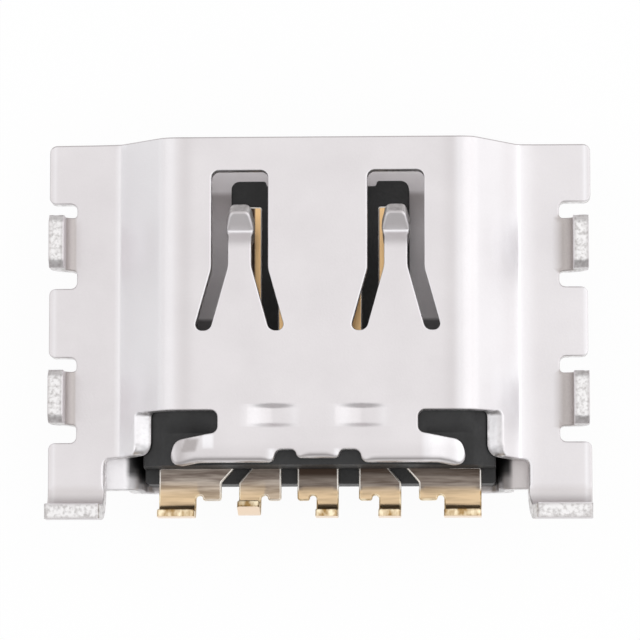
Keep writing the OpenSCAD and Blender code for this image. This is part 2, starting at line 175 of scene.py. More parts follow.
class PortTraySizes(bpy.types.PropertyGroup):
    """Sizes of the lower shell."""

    sheet: length("Sheet", 0.3, "Thickness of the sheet")
    cavity_w: length("Cavity width", 6.9, "Inside width of the plug cavity")
    tray_l: length("Length", 6.7, "Length of the lower shell")
    tray_w: length("Width", 9.2, "Width over its flanges")
    floor_fold: length("Floor fold", 0.14, "Inside radius between floor and walls")
    wall: length("Wall", 0.54, "Straight height of a wall between its two folds")
    flange_fold: length("Flange fold", 0.08, "Inside radius between walls and flanges")
    relief_w: length("Relief width", 5.0, "Width of the relief in the tail edge")
    relief_l: length("Relief depth", 0.25, "Depth of the relief in the tail edge")


class PortHousingSizes(bpy.types.PropertyGroup):
    """Sizes of the black moulding."""

    block_w: length("Block width", 6.8, "Width of the block")
    block_start: length("Block start", 4.95, "Mouth edge to the block's front")
    block_end: length("Block end", 6.29, "Mouth edge to the block's tail face")
    block_top: length("Block top", 2.13, "Height of the block")
    ledge_end: length("Ledge end", 6.58, "Mouth edge to the ledge's tail face")
    ledge_top: length("Ledge top", 1.19, "Height of the ledge below the leads")
    bottom: length("Bottom", 0.32, "Height of the block's underside")
    tongue_start: length("Tongue start", 0.68, "Mouth edge to the tongue")
    tongue_w: length("Tongue width", 3.46, "Width of the tongue")
    tongue_t: length("Tongue thickness", 0.6, "Thickness of the tongue")
    tongue_top: length("Tongue top", 1.32, "Height of the tongue's upper face")
    tongue_r: length("Tongue corners", 0.16, "Radius of the tongue's front corners")
    recess_w: length("Recess width", 2.15, "Width of the recess in the tongue's front")
    recess_x: length("Recess offset", 0.025, "Middle of the port to the middle of the recess, to the right")
    recess_l: length("Recess depth", 0.1, "Depth of the recess in the tongue's front")
    pocket_x: length("Ear pocket", 2.03, "Middle to the inner edge of the pockets for the ears")
    pocket_d: length("Ear pocket start", 5.65, "Mouth edge to the pockets for the ears")
    pocket_z: length("Ear pocket height", 1.97, "Height of the pockets' floors")


class PortContactSizes(bpy.types.PropertyGroup):
    """Sizes of the five contacts."""

    pitch: length("Pitch", 0.65, "Distance between contacts on the tongue")
    strip: length("Strip", 0.15, "Thickness of a contact")
    width: length("Width", 0.35, "Width of a contact on the tongue")
    top: length("Height", 1.34, "Height of the contacts' upper faces")
    start: length("Start", 1.18, "Mouth edge to the contacts' front ends")
    fan_start: length("Fan start", 5.7, "Where the leads begin to fan out")
    shoulder: length("Shoulder", 6.27, "Start of the plates' square shoulders")
    arm_end: length("Arm end", 6.56, "End of the slanted arms")
    tail_d: length("Tail fold place", 6.93, "Where the solder tails turn up")
    tail_fold: length("Tail fold", 0.18, "Inside radius of a solder tail's fold")
    plating_d: length("Plating", 6.54, "Mouth edge to the thicker plating of the solder tails")
    tail_h: length("Tail height", 0.55, "Height of the solder tails above the leads")
    stub_end: length("Stub end", 6.91, "End of the cut-off stubs beside the tails")
    relief_d: length("Relief place", 6.815, "Mouth edge to the round relief between tail and stub")
    relief: length("Relief", 0.13, "Width of the round relief between tail and stub")
    outer_w: length("Outer plate width", 1.21, "Width of the outer plates")
    outer_x: length("Outer plate place", 2.515, "Middle to the middle of an outer plate")
    outer_tail: length("Outer tail width", 0.72, "Width of the outer solder tails")
    inner_w: length("Inner plate width", 0.82, "Width of the second plates")
    inner_x: length("Inner plate place", 1.16, "Middle to the middle of a second plate")
    inner_tail: length("Inner tail width", 0.43, "Width of the other solder tails")
    mid_w: length("Middle plate width", 0.8, "Width of the middle plate")
    mid_x: length("Middle plate offset", 0.04, "Offset of the middle plate to the left")
    tail_a: angle("Tail angle", 92, "Fold of the solder tails")
    bent_a: angle("Bent tail", 110, "Fold of the second solder tail, which is bent too far")


class PortFinish(bpy.types.PropertyGroup):
    """Colours and gloss of the three materials."""

    steel: colour("Steel", (0.73, 0.7, 0.71), "Satin plated sheet")
    steel_dark: colour("Steel clouds", (0.685, 0.655, 0.665), "Darker clouds in the sheet")
    steel_gloss: share("Steel roughness", 0.43, "Roughness of the sheet")
    strain_gloss: share("Strain roughness", 0.6, "Roughness of the cracked plating")
    shear_gloss: share("Shear roughness", 0.42, "Roughness of the sheared edges")
    # Painted highlight: a paler colour on creases, folds, slopes, rims and the openings' outer walls.
    burnished: colour("Burnished steel", (0.915, 0.903, 0.925), "Metal that the folding tool has polished")
    # Painted shade: a darker colour along edges, the mouth, the noses, the cut ends and the cavity's floor.
    dull: colour("Dull steel", (0.42, 0.39, 0.39), "Metal with a dull film or scuff")
    # Painted shadow: near black beside the block and deep in the cavity.
    flux: colour("Flux film", (0.025, 0.024, 0.024), "Black film beside the block and deep in the cavity")
    # Cracked plating, which also carries painted shade on the folds.
    strained: colour("Strained steel", (0.5, 0.455, 0.435), "Cracked plating inside the tight folds")
    shear: colour("Sheared edge", (0.83, 0.815, 0.815), "Bright metal of the sheared edges")
    shear_dark: colour("Torn edge", (0.5, 0.48, 0.475), "Torn patches of the sheared edges")
    plastic: colour("Plastic", (0.02, 0.02, 0.0205), "Black moulding")
    gold: colour("Gold", (0.85, 0.56, 0.28), "Gold plating of the contact faces")
    pale_gold: colour("Pale gold", (0.74, 0.55, 0.345), "Gold plating of the solder tails")
    bare: colour("Bare lead", (0.2, 0.16, 0.135), "Thinly plated plates of the leads")
    peach: colour("Outer gold", (0.88, 0.7, 0.53), "Pale plating outside the folds of the solder tails")
    # Painted highlight on the plates' stamped rims.
    lead_rim: colour("Lead rims", (0.93, 0.89, 0.84), "Bright stamped rims of the plates")
    # The bright grains are painted glints.
    spark: colour("Cut gold", (0.98, 0.85, 0.62), "Bright grains of the solder tails' cut ends")
    spark_dark: colour("Cut gold grain", (0.4, 0.25, 0.1), "Dark grains of the solder tails' cut ends")
    # Painted shade on the plates and on the outer contacts.
    tarnish: colour("Tarnish", (0.06, 0.04, 0.03), "Brown film on the plates")
    gold_gloss: share("Gold roughness", 0.3, "Roughness of the contact faces")
    tail_gloss: share("Tail roughness", 0.28, "Roughness of the solder tails")
    rim_gloss: share("Rim roughness", 0.45, "Roughness of the stamped rims")
    bare_pale: colour("Bare lead streaks", (0.55, 0.48, 0.42), "Bright streaks of the plates")


class PortStage(bpy.types.PropertyGroup):
    """Camera, floor and light."""

    distance: length("Camera distance", 80, "Camera to its target")
    target_y: length("Target", 0.25, "Height of the target in the picture")
    target_z: length("Target height", 1.35, "Height of the target above the floor")
    tilt: angle("Tilt", 6, "Lean of the view towards the tail")
    roll: angle("Lean", 2.5, "Lean of the view towards the right")
    lens: bpy.props.FloatProperty(
        name="Lens", description="Focal length", default=231.8, min=1.0, subtype="DISTANCE_CAMERA", unit="CAMERA"
    )
    box_distance: length("Soft box distance", 410.122, "Port to each soft box")
    floor: colour("Floor", (0.9, 0.9, 0.9), "Pale floor")
    shade: share("Shade", 0.06, "Share of the object's shadow that the floor shows to the camera")


# Outlines and folds


def rounded(corners, step=0.035 * MM):
    """Closed outline from corners (u, v, r).

    At each corner the edges give way to an arc of radius r whose middle lies on the bisector, r / sin of half the
    corner's angle away. The arcs and the straight runs between them are then resampled at equal steps of length.
    """
    table = np.array(corners, float)
    p, r = table[:, :2], table[:, 2]
    back, ahead = np.roll(p, 1, 0) - p, np.roll(p, -1, 0) - p
    back_l, ahead_l = np.hypot(*back.T), np.hypot(*ahead.T)
    back, ahead = back / back_l[:, None], ahead / ahead_l[:, None]
    half = np.arccos(np.clip((back * ahead).sum(1), -1, 1)) / 2
    r = np.minimum(r, 0.49 * np.minimum(back_l, ahead_l) * np.tan(half))
    inward = (back + ahead) / np.maximum(np.hypot(*(back + ahead).T), 1e-12)[:, None]
    along = (ahead - back) / np.hypot(*(ahead - back).T)[:, None]
    turn = np.linspace(-1, 1, 17) * (pi / 2 - half)[:, None]
    centre = p + inward * (r / np.sin(half))[:, None]
    arcs = centre[:, None] + r[:, None, None] * (
        along[:, None] * np.sin(turn)[..., None] - inward[:, None] * np.cos(turn)[..., None]
    )
    line = arcs.reshape(-1, 2)
    line = np.vstack([line, line[:1]])
    run = np.r_[0, np.cumsum(np.hypot(*np.diff(line, axis=0).T))]
    at = np.linspace(0, run[-1], max(12, int(run[-1] / step)), endpoint=False)
    return np.c_[np.interp(at, run, line[:, 0]), np.interp(at, run, line[:, 1])]


def mirrored(corners, left=None):
    """The corners of a right half, followed by its mirror image or that of the left half, as one closed outline."""
    return corners + [(-u, v, r) for u, v, r in reversed(left or corners)]


def across(loop):
    """Directions into the material, left of the travel along a closed outline.

    Each is the sum of its two edges' unit normals over one plus their product, so that parallel lines keep distance.
    """
    edge = np.roll(loop, -1, 0) - loop
    normal = np.c_[-edge[:, 1], edge[:, 0]] / np.hypot(*edge.T)[:, None]
    before = np.roll(normal, 1, 0)
    return (normal + before) / (1 + (normal * before).sum(1)).clip(0.3)[:, None]


def bend(s, n, start, turn, radius):
    """Folds a strip: s runs along it, n is the height above its upper face.

    From s = start on, the upper face follows a circle of the given radius, about an axis above it for a positive
    turn and below it for a negative one, until it has turned by the angle; behind that it goes on straight.
    """
    rho = np.copysign(radius, turn)
    phi = np.clip((s - start) / rho, min(turn, 0), max(turn, 0))
    straight = np.maximum(s - start - radius * abs(turn), 0)
    folded_s = start + (rho - n) * np.sin(phi) + straight * np.cos(turn)
    folded_n = rho - (rho - n) * np.cos(phi) + straight * np.sin(turn)
    return np.where(s > start, folded_s, s), np.where(s > start, folded_n, n)


def rim_profile(thick, roll, slant, burr, rows, margin):
    """Rim of a stamped sheet: inset and height, one row per ring and one column per rim point.

    A flat margin, a quarter circle for the die roll, the sheared wall, a smaller quarter circle and a margin below.
    The die roll's radius and the slant, by which the wall's upper edge stands back, are arrays over the rim points.
    """
    q = np.linspace(0, pi / 2, 6)[:, None]
    flat = np.zeros((1, len(roll)))
    wall = -roll + np.linspace(0, 1, rows + 2)[1:-1, None] * (roll + burr - thick)
    back = slant * (1 + wall / thick)
    upper = [flat + roll + slant + margin, roll * (1 - np.sin(q)) + slant * (1 - roll * (1 - np.cos(q)) / thick)]
    inset = [*upper, back, flat + burr * (1 - np.cos(q)), flat + burr + margin]
    height = [flat, -roll * (1 - np.cos(q)), wall, flat + burr * (1 - np.sin(q)) - thick, flat - thick]
    return np.vstack(inset), np.vstack(height)


def inside(points, loops, clear):
    """Which points lie in the blank and at least clear from its outlines.

    A point is inside if a ray to the right crosses the outlines an odd number of times; the distance is to the
    outlines' own points, and clear is one number or one for each of them.
    """
    a = np.vstack(loops)
    b = np.vstack([np.roll(loop, -1, 0) for loop in loops])
    keep = []
    for part in np.array_split(points, max(1, len(points) // 1500)):
        x, y = part[:, :1], part[:, 1:]
        spans = (a[:, 1] > y) != (b[:, 1] > y)
        rise = np.where(b[:, 1] == a[:, 1], 1, b[:, 1] - a[:, 1])
        crossing = a[:, 0] + (y - a[:, 1]) * (b[:, 0] - a[:, 0]) / rise
        odd = (spans & (x < crossing)).sum(1) % 2 == 1
        spare = ((x - a[:, 0]) ** 2 + (y - a[:, 1]) ** 2 - clear**2).min(1)
        keep.append(odd & (spare > 0))
    return np.concatenate(keep)


def sheet_mesh(name, loops, rim_sizes, lines, place, clear=0.05 * MM, rough=0.0, seed=1, angle_limit=None, wall=6):
    """Closed mesh of a folded sheet.

    Each outline is carried through the rim profile, one ring per row, inset along its directions into the material.
    The two flat faces are a constrained Delaunay net over the innermost rings and the crossings of the given lines.
    rim_sizes are those of rim_profile, where die roll and slant may be functions of u and v. place turns the arrays
    u, v and the height n into X, Y and Z. The attribute "sheared" is 1 on the cut wall, from the given ring on.
    """
    loops = [np.array(loop) for loop in loops]
    for i, loop in enumerate(loops):
        ahead = np.roll(loop, -1, 0)
        turns_left = (loop[:, 0] * ahead[:, 1] - loop[:, 1] * ahead[:, 0]).sum() > 0
        if turns_left != (i == 0):
            loops[i] = loop[::-1]
    rim = np.vstack(loops)
    into = np.vstack([across(loop) for loop in loops])
    sizes = np.array([len(loop) for loop in loops])
    first = np.repeat(np.cumsum(sizes) - sizes, sizes)
    count = len(rim)
    ahead = first + (np.arange(count) - first + 1) % np.repeat(sizes, sizes)

    thick, *shaped, burr, wall_rows, margin = rim_sizes
    shaped = [size(*rim.T) if callable(size) else np.full(count, size) for size in shaped]
    inset, ring_n = rim_profile(thick, *shaped, burr, wall_rows, margin)
    rows = len(inset)
    is_wall = np.zeros((rows, count))
    is_wall[wall : 8 + wall_rows] = 1
    chips = np.random.default_rng(seed).normal(size=(rows, count))
    chips = np.abs(chips + np.roll(chips, 1, 1) + np.roll(chips, -1, 1)) / 3
    ring_uv = rim + (inset + rough * chips * is_wall)[..., None] * into

    grid = np.stack(np.meshgrid(*lines), -1).reshape(-1, 2)
    grid = grid[inside(grid, loops, clear + inset[0])]
    flat = np.vstack([ring_uv[0], grid]) / MM
    edges = np.c_[np.arange(count), ahead]
    net = delaunay_2d_cdt(flat.tolist(), edges.tolist(), [], 1, 1e-7)
    source = np.array([given[0] for given in net[3]])
    tri = source[np.array(net[2])]
    tri = tri[inside(MM * flat[tri].mean(1), np.split(ring_uv[0], np.cumsum(sizes)[:-1]), 0)]

    spare = len(grid)
    u = np.concatenate([ring_uv[..., 0].ravel(), grid[:, 0], grid[:, 0]])
    v = np.concatenate([ring_uv[..., 1].ravel(), grid[:, 1], grid[:, 1]])
    n = np.concatenate([ring_n.ravel(), np.zeros(spare), np.full(spare, -thick)])
    points = np.stack(place(u, v, n), -1)

    upper = np.where(tri < count, tri, tri + (rows - 1) * count)
    lower = np.where(tri < count, tri + (rows - 1) * count, tri + (rows - 1) * count + spare)[:, ::-1]
    here = np.arange(rows - 1)[:, None] * count
    quads = np.stack(
        [here + edges[:, 0], here + count + edges[:, 0], here + count + edges[:, 1], here + edges[:, 1]], -1
    ).reshape(-1, 4)

    mesh = bpy.data.meshes.new(name)
    mesh.from_pydata(points, [], upper.tolist() + lower.tolist() + quads.tolist())
    mesh.polygons.foreach_set("use_smooth", np.ones(len(mesh.polygons), bool))
    if angle_limit:
        mesh.set_sharp_from_angle(angle=angle_limit)
    sheared = np.zeros(len(points), np.float32)
    sheared[: rows * count] = is_wall.ravel()
    mesh.attributes.new("sheared", "FLOAT", "POINT").data.foreach_set("value", sheared)
    mesh.validate()
    return mesh, u, v, n


def rise(value, start, width):
    """Nought up to start, one from start + width on, straight between them."""
    return np.clip((value - start) / width, 0, 1)


def fall(value, end, width):
    """One up to end - width, nought from end on, straight between them."""
    return rise(-value, -end, width)


def peak(value, middle, width):
    """A smooth bell of height one."""
    return np.exp(-(((value - middle) / width) ** 2))


def box_mask(value, low, high, soft):
    """One between low and high, with soft flanks."""
    return rise(value, low, soft) * fall(value, high, soft)


def paint(mesh, name, values):
    """Puts one number per vertex into the mesh, for its material to read."""
    layer = mesh.attributes.get(name) or mesh.attributes.new(name, "FLOAT", "POINT")
    layer.data.foreach_set("value", values.astype(np.float32))


def painted(mesh, name):
    """The numbers that were painted on the mesh."""
    values = np.empty(len(mesh.vertices), np.float32)
    mesh.attributes[name].data.foreach_get("value", values)
    return values


def add_piece(mesh, material, node):
    """Links a finished mesh as a piece that stands for its CAD node."""
    piece = bpy.data.objects.new(node + "_look", mesh)
    bpy.context.scene.collection.objects.link(piece)
    mesh.materials.append(material)
    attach(piece, "root")
    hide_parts(node)
    return piece


def spread(*spans):
    """Sorted lines, each span given as start, end and the distance between its lines."""
    parts = [np.linspace(a, b, max(2, int(round((b - a) / d)) + 1)) for a, b, d in spans]
    lines = np.unique(np.concatenate(parts).round(7))
    return lines[np.r_[True, np.diff(lines) > 0.008 * MM]]


def both(lines):
    """Lines on the right, and their mirror images."""
    return np.unique(np.r_[-lines, lines])


# Materials


class Tree:
    """The node tree of a material or world, emptied, with short ways to add nodes."""

    def __init__(self, owner):
        owner.use_nodes = True
        self.nodes, self.join = owner.node_tree.nodes, owner.node_tree.links.new
        self.nodes.clear()

    def add(self, kind, out, inputs, **settings):
        """Adds a node, gives each input its value or joins a socket to it, and returns one output or the node."""
        node = self.nodes.new("ShaderNode" + kind)
        for name, value in settings.items():
            setattr(node, name, value)
        for name, value in inputs.items():
            if isinstance(value, bpy.types.NodeSocket):
                self.join(value, node.inputs[name])
            else:
                node.inputs[name].default_value = value
        return node if out is None else node.outputs[out]

    def noise(self, scale, detail=2.0, stretch=(1, 1, 1)):
        """Noise on Object coordinates, stretched along the axes; scale is cells per metre."""
        place = self.add("TexCoord", "Object", {})
        place = self.add("Mapping", "Vector", {"Vector": place, "Scale": stretch})
        return self.add("TexNoise", "Fac", {"Vector": place, "Scale": scale, "Detail": detail})

    def level(self, source, low, high, start=0.3, end=0.7):
        """Maps a number from start..end to low..high."""
        limits = {"From Min": start, "From Max": end, "To Min": low, "To Max": high}
        return self.add("MapRange", "Result", {"Value": source, **limits})

    def mix(self, factor, first, second):
        """Mixes two numbers by a factor."""
        return self.add("Mix", 0, {0: factor, 2: first, 3: second})

    def tint(self, factor, first, second):
        """Mixes two colours by a factor."""
        pair = (c if isinstance(c, bpy.types.NodeSocket) else (*c, 1) for c in (first, second))
        return self.add("Mix", 2, {0: factor, **dict(zip((6, 7), pair))}, data_type="RGBA")

    def math(self, operation, first, second):
        """Combines two numbers."""
        return self.add("Math", 0, {0: first, 1: second}, operation=operation)

    def attribute(self, name):
        """A number painted on the mesh."""
        return self.add("Attribute", "Fac", {}, attribute_name=name)

    def bump(self, height, strength, depth):
        """A normal from a height; depth is in metres."""
        return self.add("Bump", "Normal", {"Height": height, "Strength": strength, "Distance": depth})

    def surface(self, colour, roughness, normal, constants):
        """A principled shader with these inputs, joined to the output."""
        inputs = {"Base Color": colour, "Roughness": roughness, "Normal": normal, **constants}
        self.add("OutputMaterial", None, {"Surface": self.add("BsdfPrincipled", "BSDF", inputs)})


def new_material(name):
    """A material and its empty node tree."""
    material = bpy.data.materials.new(name)
    return material, Tree(material)


def scaled(colour, factor):
    """A colour made darker or paler."""
    return tuple(factor * c for c in colour)


def satin_steel(finish):
    """Plated sheet: faint clouds and fine grain on the rolled faces, torn bright metal on the sheared walls, painted
    highlights, painted shade and painted shadow, and cracked plating inside the tight folds, which also carries painted
    shade."""
    material, tree = new_material("satin_steel")
    clouds, grain = tree.noise(900, 4), tree.noise(24000, 3)
    torn = tree.noise(13000, 4, (1, 1, 0.5))
    sheared, burnish, dull, strain, flux = map(tree.attribute, ("sheared", "burnish", "dull", "strain", "flux"))
    cracked_and_shaded = tree.tint(tree.level(grain, 0, 1), scaled(finish.strained, 0.9), finish.strained)
    edge = tree.tint(tree.level(torn, 0, 1, 0.3, 0.56), finish.shear_dark, finish.shear)
    face = tree.tint(tree.level(clouds, 0, 1), finish.steel_dark, finish.steel)
    # Coats: painted highlight, sheared edges, painted shade, cracked plating that also carries painted shade, and
    # painted shadow.
    coats = ((burnish, finish.burnished), (sheared, edge), (dull, finish.dull), (strain, cracked_and_shaded), (flux, finish.flux))
    for factor, coat in coats:
        face = tree.tint(factor, face, coat)
    smooth = tree.level(grain, finish.steel_gloss - 0.05, finish.steel_gloss + 0.05)
    smooth = tree.mix(strain, smooth, finish.strain_gloss)
    smooth = tree.mix(sheared, smooth, finish.shear_gloss)
    height = tree.mix(sheared, tree.level(grain, 0, 0.12), torn)
    tree.surface(face, smooth, tree.bump(height, 0.45, 0.015 * MM), {"Metallic": 1.0})
    return material


def black_plastic(finish):
    """Matt moulding with a fine spark-eroded grain."""
    material, tree = new_material("black_plastic")
    grain, clouds = tree.noise(16000, 3), tree.noise(1500, 2)
    face = tree.tint(tree.level(clouds, 0, 1), finish.plastic, scaled(finish.plastic, 1.7))
    smooth = tree.level(grain, 0.42, 0.6)
    tree.surface(face, smooth, tree.bump(grain, 0.25, 0.01 * MM), {"Specular IOR Level": 0.35})
    return material


def gold_plate(finish):
    """Plated strip: gold on the contact faces, paler gold on the solder tails with painted glints on their cut ends,
    and thin brownish plating with rolling streaks on the plates, painted highlights on their rims, and painted shade on
    the plates and the outer contacts."""
    material, tree = new_material("gold_plate")
    streaks = tree.noise(13000, 4, (0.09, 1, 1))
    grain = tree.noise(7000, 2, (1, 0.6, 0.6))
    plated, tail, outer, sheared, tarnish = map(tree.attribute, ("plated", "tail", "outer", "sheared", "tarnish"))
    face = tree.tint(tree.level(streaks, 0, 1, 0.36, 0.68), finish.bare, finish.bare_pale)
    tones = tree.tint(tree.level(streaks, 0, 1, 0.3, 0.6), scaled(finish.pale_gold, 0.72), finish.pale_gold)
    # Painted glints on the tails' cut ends and a painted highlight on the plates' rims; the brown coat below is painted
    # shade.
    spark = tree.tint(tree.level(grain, 0, 1, 0.36, 0.64), finish.spark_dark, finish.spark)
    rim = tree.tint(tail, finish.lead_rim, spark)
    coats = ((tarnish, finish.tarnish), (plated, finish.gold), (tail, tones), (outer, finish.peach), (sheared, rim))
    for factor, coat in coats:
        face = tree.tint(factor, face, coat)
    smooth = tree.mix(plated, tree.level(streaks, 0.34, 0.46), finish.gold_gloss)
    smooth = tree.mix(tail, smooth, finish.tail_gloss)
    smooth = tree.mix(sheared, smooth, finish.rim_gloss)
    height = tree.mix(sheared, tree.level(streaks, 0, 0.3), grain)
    height = tree.mix(plated, height, 0.15)
    tree.surface(face, smooth, tree.bump(height, 0.5, 0.01 * MM), {"Metallic": 1.0})
    return material


def finish_of(context, make):
    """A material that several pieces share, made once and named after its function."""
    return bpy.data.materials.get(make.__name__) or make(context.scene.port_finish)


# Pieces


class UpperFold:
    """Folds of the upper shell: from the flat blank, with u across and v along the port, to its place.

    Presses on the face come first, then legs and lips, then the creases and at last the folds beside the face.
    """

    def __init__(self, shell, cut):
        self.shell, self.cut = shell, cut
        rise, run = FACE_Z - shell.flange_z, (shell.crease_w - shell.face_w) / 2
        self.slope = np.arctan2(rise, run)
        outer = shell.face_fold + shell.sheet
        self.ease_r = shell.ease_l / shell.ease_a
        self.face = shell.face_w / 2 - outer * np.tan(self.slope / 2)
        drop = outer * (1 - np.cos(self.slope)) + self.ease_r * (1 - np.cos(shell.ease_a))
        drop += shell.crease_fold * (np.cos(shell.ease_a) - np.cos(self.slope))
        slope_l = (rise - drop) / np.sin(self.slope)
        self.crease = self.face + outer * self.slope + slope_l
        self.ease = self.crease + shell.crease_fold * (self.slope - shell.ease_a)
        self.flat = self.ease + shell.ease_l
        flat_x = float(self.section(np.array([self.flat]), np.zeros(1))[0][0])
        self.edge = self.flat + shell.flange_w / 2 - flat_x
        table = np.linspace(0, self.edge, 4000)
        self.table = self.section(table, table * 0)[0], table
        self.leg_root = self.u(shell.leg_out - shell.sheet - shell.leg_fold)
        self.leg_tip = self.leg_root + shell.leg_fold * (pi / 2 - 1) + shell.leg_h
        self.lip_tip = shell.flange_l + shell.lip_fold * (pi / 2 - 1) + shell.lip_h
        self.ear_root = cut.opening_in + 1.25 * cut.opening_r
        self.dip = HALF_LENGTH - cut.stem_end
        self.valley = self.dip + (cut.fold + shell.sheet) * cut.dip_a + cut.dip_l
        self.nose = self.valley + cut.fold * (cut.dip_a + cut.nose_a)
        self.tip = self.nose + cut.nose_l

    def section(self, a, n):
        """Flanges levelled and creases up, together by the slope's angle, then the folds beside the face down by it."""
        shell = self.shell
        a, n = bend(a, n, self.ease, shell.ease_a, self.ease_r)
        a, n = bend(a, n, self.crease, self.slope - shell.ease_a, shell.crease_fold)
        return bend(a, n, self.face, -self.slope, shell.face_fold + shell.sheet)

    def u(self, x):
        """Place on the blank of a point whose X on the finished upper face is given."""
        return float(np.interp(x, *self.table))

    def v(self, d):
        """Place on the blank of a distance from the mouth edge."""
        return HALF_LENGTH - d

    def leg_mask(self, a, d):
        """Which points are on a leg."""
        shell = self.shell
        reach = shell.leg_w / 2 + shell.leg_gap / 2
        near = np.minimum(np.abs(d - shell.leg_1), np.abs(d - shell.leg_2))
        return (a > self.leg_root) & (near < reach)

    def __call__(self, u, v, n):
        shell, cut = self.shell, self.cut
        a, side = np.abs(u), np.where(u < 0, -1.0, 1.0)
        d = HALF_LENGTH - v
        spring = (np.abs(a - cut.spring_x) < 0.6 * cut.nose_w) & (v > self.dip) & (d > cut.slot_start)
        s, h = bend(v, n, self.valley, cut.dip_a + cut.nose_a, cut.fold)
        s, h = bend(s, h, self.dip, -cut.dip_a, cut.fold + shell.sheet)
        v, n = np.where(spring, s, v), np.where(spring, h, n)

        along = np.abs(a - cut.bridge_x) / (cut.bridge_w / 2)
        across_d = rise((cut.bridge_l + cut.shear) / 2 - np.abs(d - cut.bridge_d), 0, cut.shear)
        dip = np.maximum(np.hypot(1, 0.08) - np.hypot(along, 0.08), 0) / (np.hypot(1, 0.08) - 0.08)
        n = n - cut.bridge_dip * dip * across_d**2 * (3 - 2 * across_d)

        ear = (a > self.ear_root) & (d > (cut.opening_start + cut.ear_start) / 2) & (a < self.face + 0.35 * MM)
        ear &= a < (cut.ear_reach + self.u(cut.opening_out)) / 2
        ear_a, ear_n = bend(a, n, self.ear_root, -cut.ear_a, shell.face_fold + shell.sheet)

        leg = self.leg_mask(a, d)
        leg_a, leg_n = bend(a, n, self.leg_root, pi / 2, shell.leg_fold)
        lip = (d > shell.flange_l) & (a > self.ease)
        lip_d, lip_n = bend(d, n, shell.flange_l, pi / 2, shell.lip_fold)
        flat_a, flat_n = np.where(leg, leg_a, a), np.where(leg, leg_n, np.where(lip, lip_n, n))
        v = np.where(lip, HALF_LENGTH - lip_d, v)
        fold_a, fold_n = self.section(flat_a, flat_n)
        a, n = np.where(ear, ear_a, fold_a), np.where(ear, ear_n, fold_n)
        return side * a, v, FACE_Z + n


def upper_outline(fold, shift, trim=0, lift=0, deep=0, late=0, lean=0):
    """Corners of one half of the blank, from the mouth round the flange to the middle of the tail.

    The legs are shifted in their notches towards the mouth, the flange is trimmed between them, its mouth edge is
    lifted towards that of the face, the notches reach deep past the legs' folds, the slope ends late, and the
    flange's inner edge leans out to the lip.
    """
    shell, cut = fold.shell, fold.cut
    edge, root, tip = fold.edge, fold.leg_root - deep, fold.leg_tip
    small, chamfer = 0.055 * MM, shell.leg_chamfer
    corners = [
        (fold.face + 0.3 * MM, -shell.mouth, 0.4 * MM),
        (fold.crease, shell.mouth_step - shell.mouth - lift, 0.4 * MM),
        (edge, shell.mouth_step - shell.mouth - 0.6 * lift, shell.corner),
    ]
    for d, low, high in ((shell.leg_1, edge, edge - trim), (shell.leg_2, edge - trim, edge)):
        gap, leg, mid = shell.leg_w / 2 + shell.leg_gap, shell.leg_w / 2, d - shift
        corners += [
            (low, d - gap, shell.corner * 0.9),
            (root, d - gap, shell.notch_r),
            (root, mid - leg, 0.6 * shell.notch_r),
            (tip - chamfer, mid - leg, small),
            (tip, mid - leg + chamfer, small),
            (tip, mid + leg - chamfer, small),
            (tip - chamfer, mid + leg, small),
            (root, mid + leg, 0.6 * shell.notch_r),
            (root, d + gap, shell.notch_r),
            (high, d + gap, shell.corner * 0.9),
        ]
    lip_in, out = fold.u(shell.lip_in), fold.u(cut.opening_out)
    notch_out, notch_in = cut.tail_notch_x + cut.tail_notch_w / 2, cut.tail_notch_x - cut.tail_notch_w / 2
    notch_d = cut.face_end - cut.tail_notch_l
    corners += [
        (edge, fold.lip_tip, small),
        (lip_in, fold.lip_tip, small),
        (lip_in - lean, shell.flange_l + 0.05 * MM, 0.3 * MM),
        (lip_in - lean, shell.slope_end + late, 0.09 * MM),
        (out, shell.slope_end + late - 0.08 * MM, 0.25 * MM),
        (out, cut.opening_start, 0.1 * MM),
        (cut.opening_in, cut.opening_start, cut.opening_r),
        (cut.opening_in, cut.ear_start - 0.02 * MM, cut.opening_r),
        (cut.ear_reach - 0.14 * MM, cut.ear_start + 0.13 * MM, 0.24 * MM),
        (cut.ear_reach + 0.02 * MM, cut.face_end + 0.1 * MM, 0.18 * MM),
        (cut.ear_reach - 0.55 * MM, cut.face_end, 0.3 * MM),
        (notch_out, cut.face_end, 0.16 * MM),
        (notch_out - 0.03 * MM, notch_d, 0.16 * MM),
        (notch_in + 0.03 * MM, notch_d, 0.16 * MM),
        (notch_in, cut.face_end - cut.tail_step, 0.15 * MM),
    ]
    return [(u, fold.v(d), r) for u, d, r in corners]


def slot_outline(fold, side):
    """Corners of the slot round a spring, with the spring's own outline as its inner edge."""
    cut = fold.cut
    right = [
        (cut.slot_w / 2, fold.v(cut.slot_start), cut.slot_r),
        (cut.slot_w / 2, fold.v(cut.slot_knee), 0.5 * MM),
        (cut.arm_spread + 0.53 * cut.arm_w, fold.v(cut.slot_end), 0.49 * cut.arm_w),
        (cut.arm_spread - 0.47 * cut.arm_w, fold.v(cut.slot_end), 0.49 * cut.arm_w),
        (cut.stem_w / 2, fold.v(cut.slot_knee - 0.05 * MM), 0.5 * MM),
        (cut.stem_w / 2, fold.valley - 0.06 * MM, 0.2 * MM),
        (cut.nose_w / 2, fold.valley + 0.07 * MM, 0.1 * MM),
        (cut.nose_w / 2 - 0.07 * MM, fold.tip - 0.1 * MM, 0.12 * MM),
        (cut.tip_w / 2, fold.tip, 0.1 * MM),
    ]
    return [(side * cut.spring_x + u, v, r) for u, v, r in mirrored(right)]


class InMm:
    """The lengths of a fold or a group of sizes, read in millimetres."""

    def __init__(self, source):
        self.source = source

    def __getattr__(self, name):
        return getattr(self.source, name) / MM


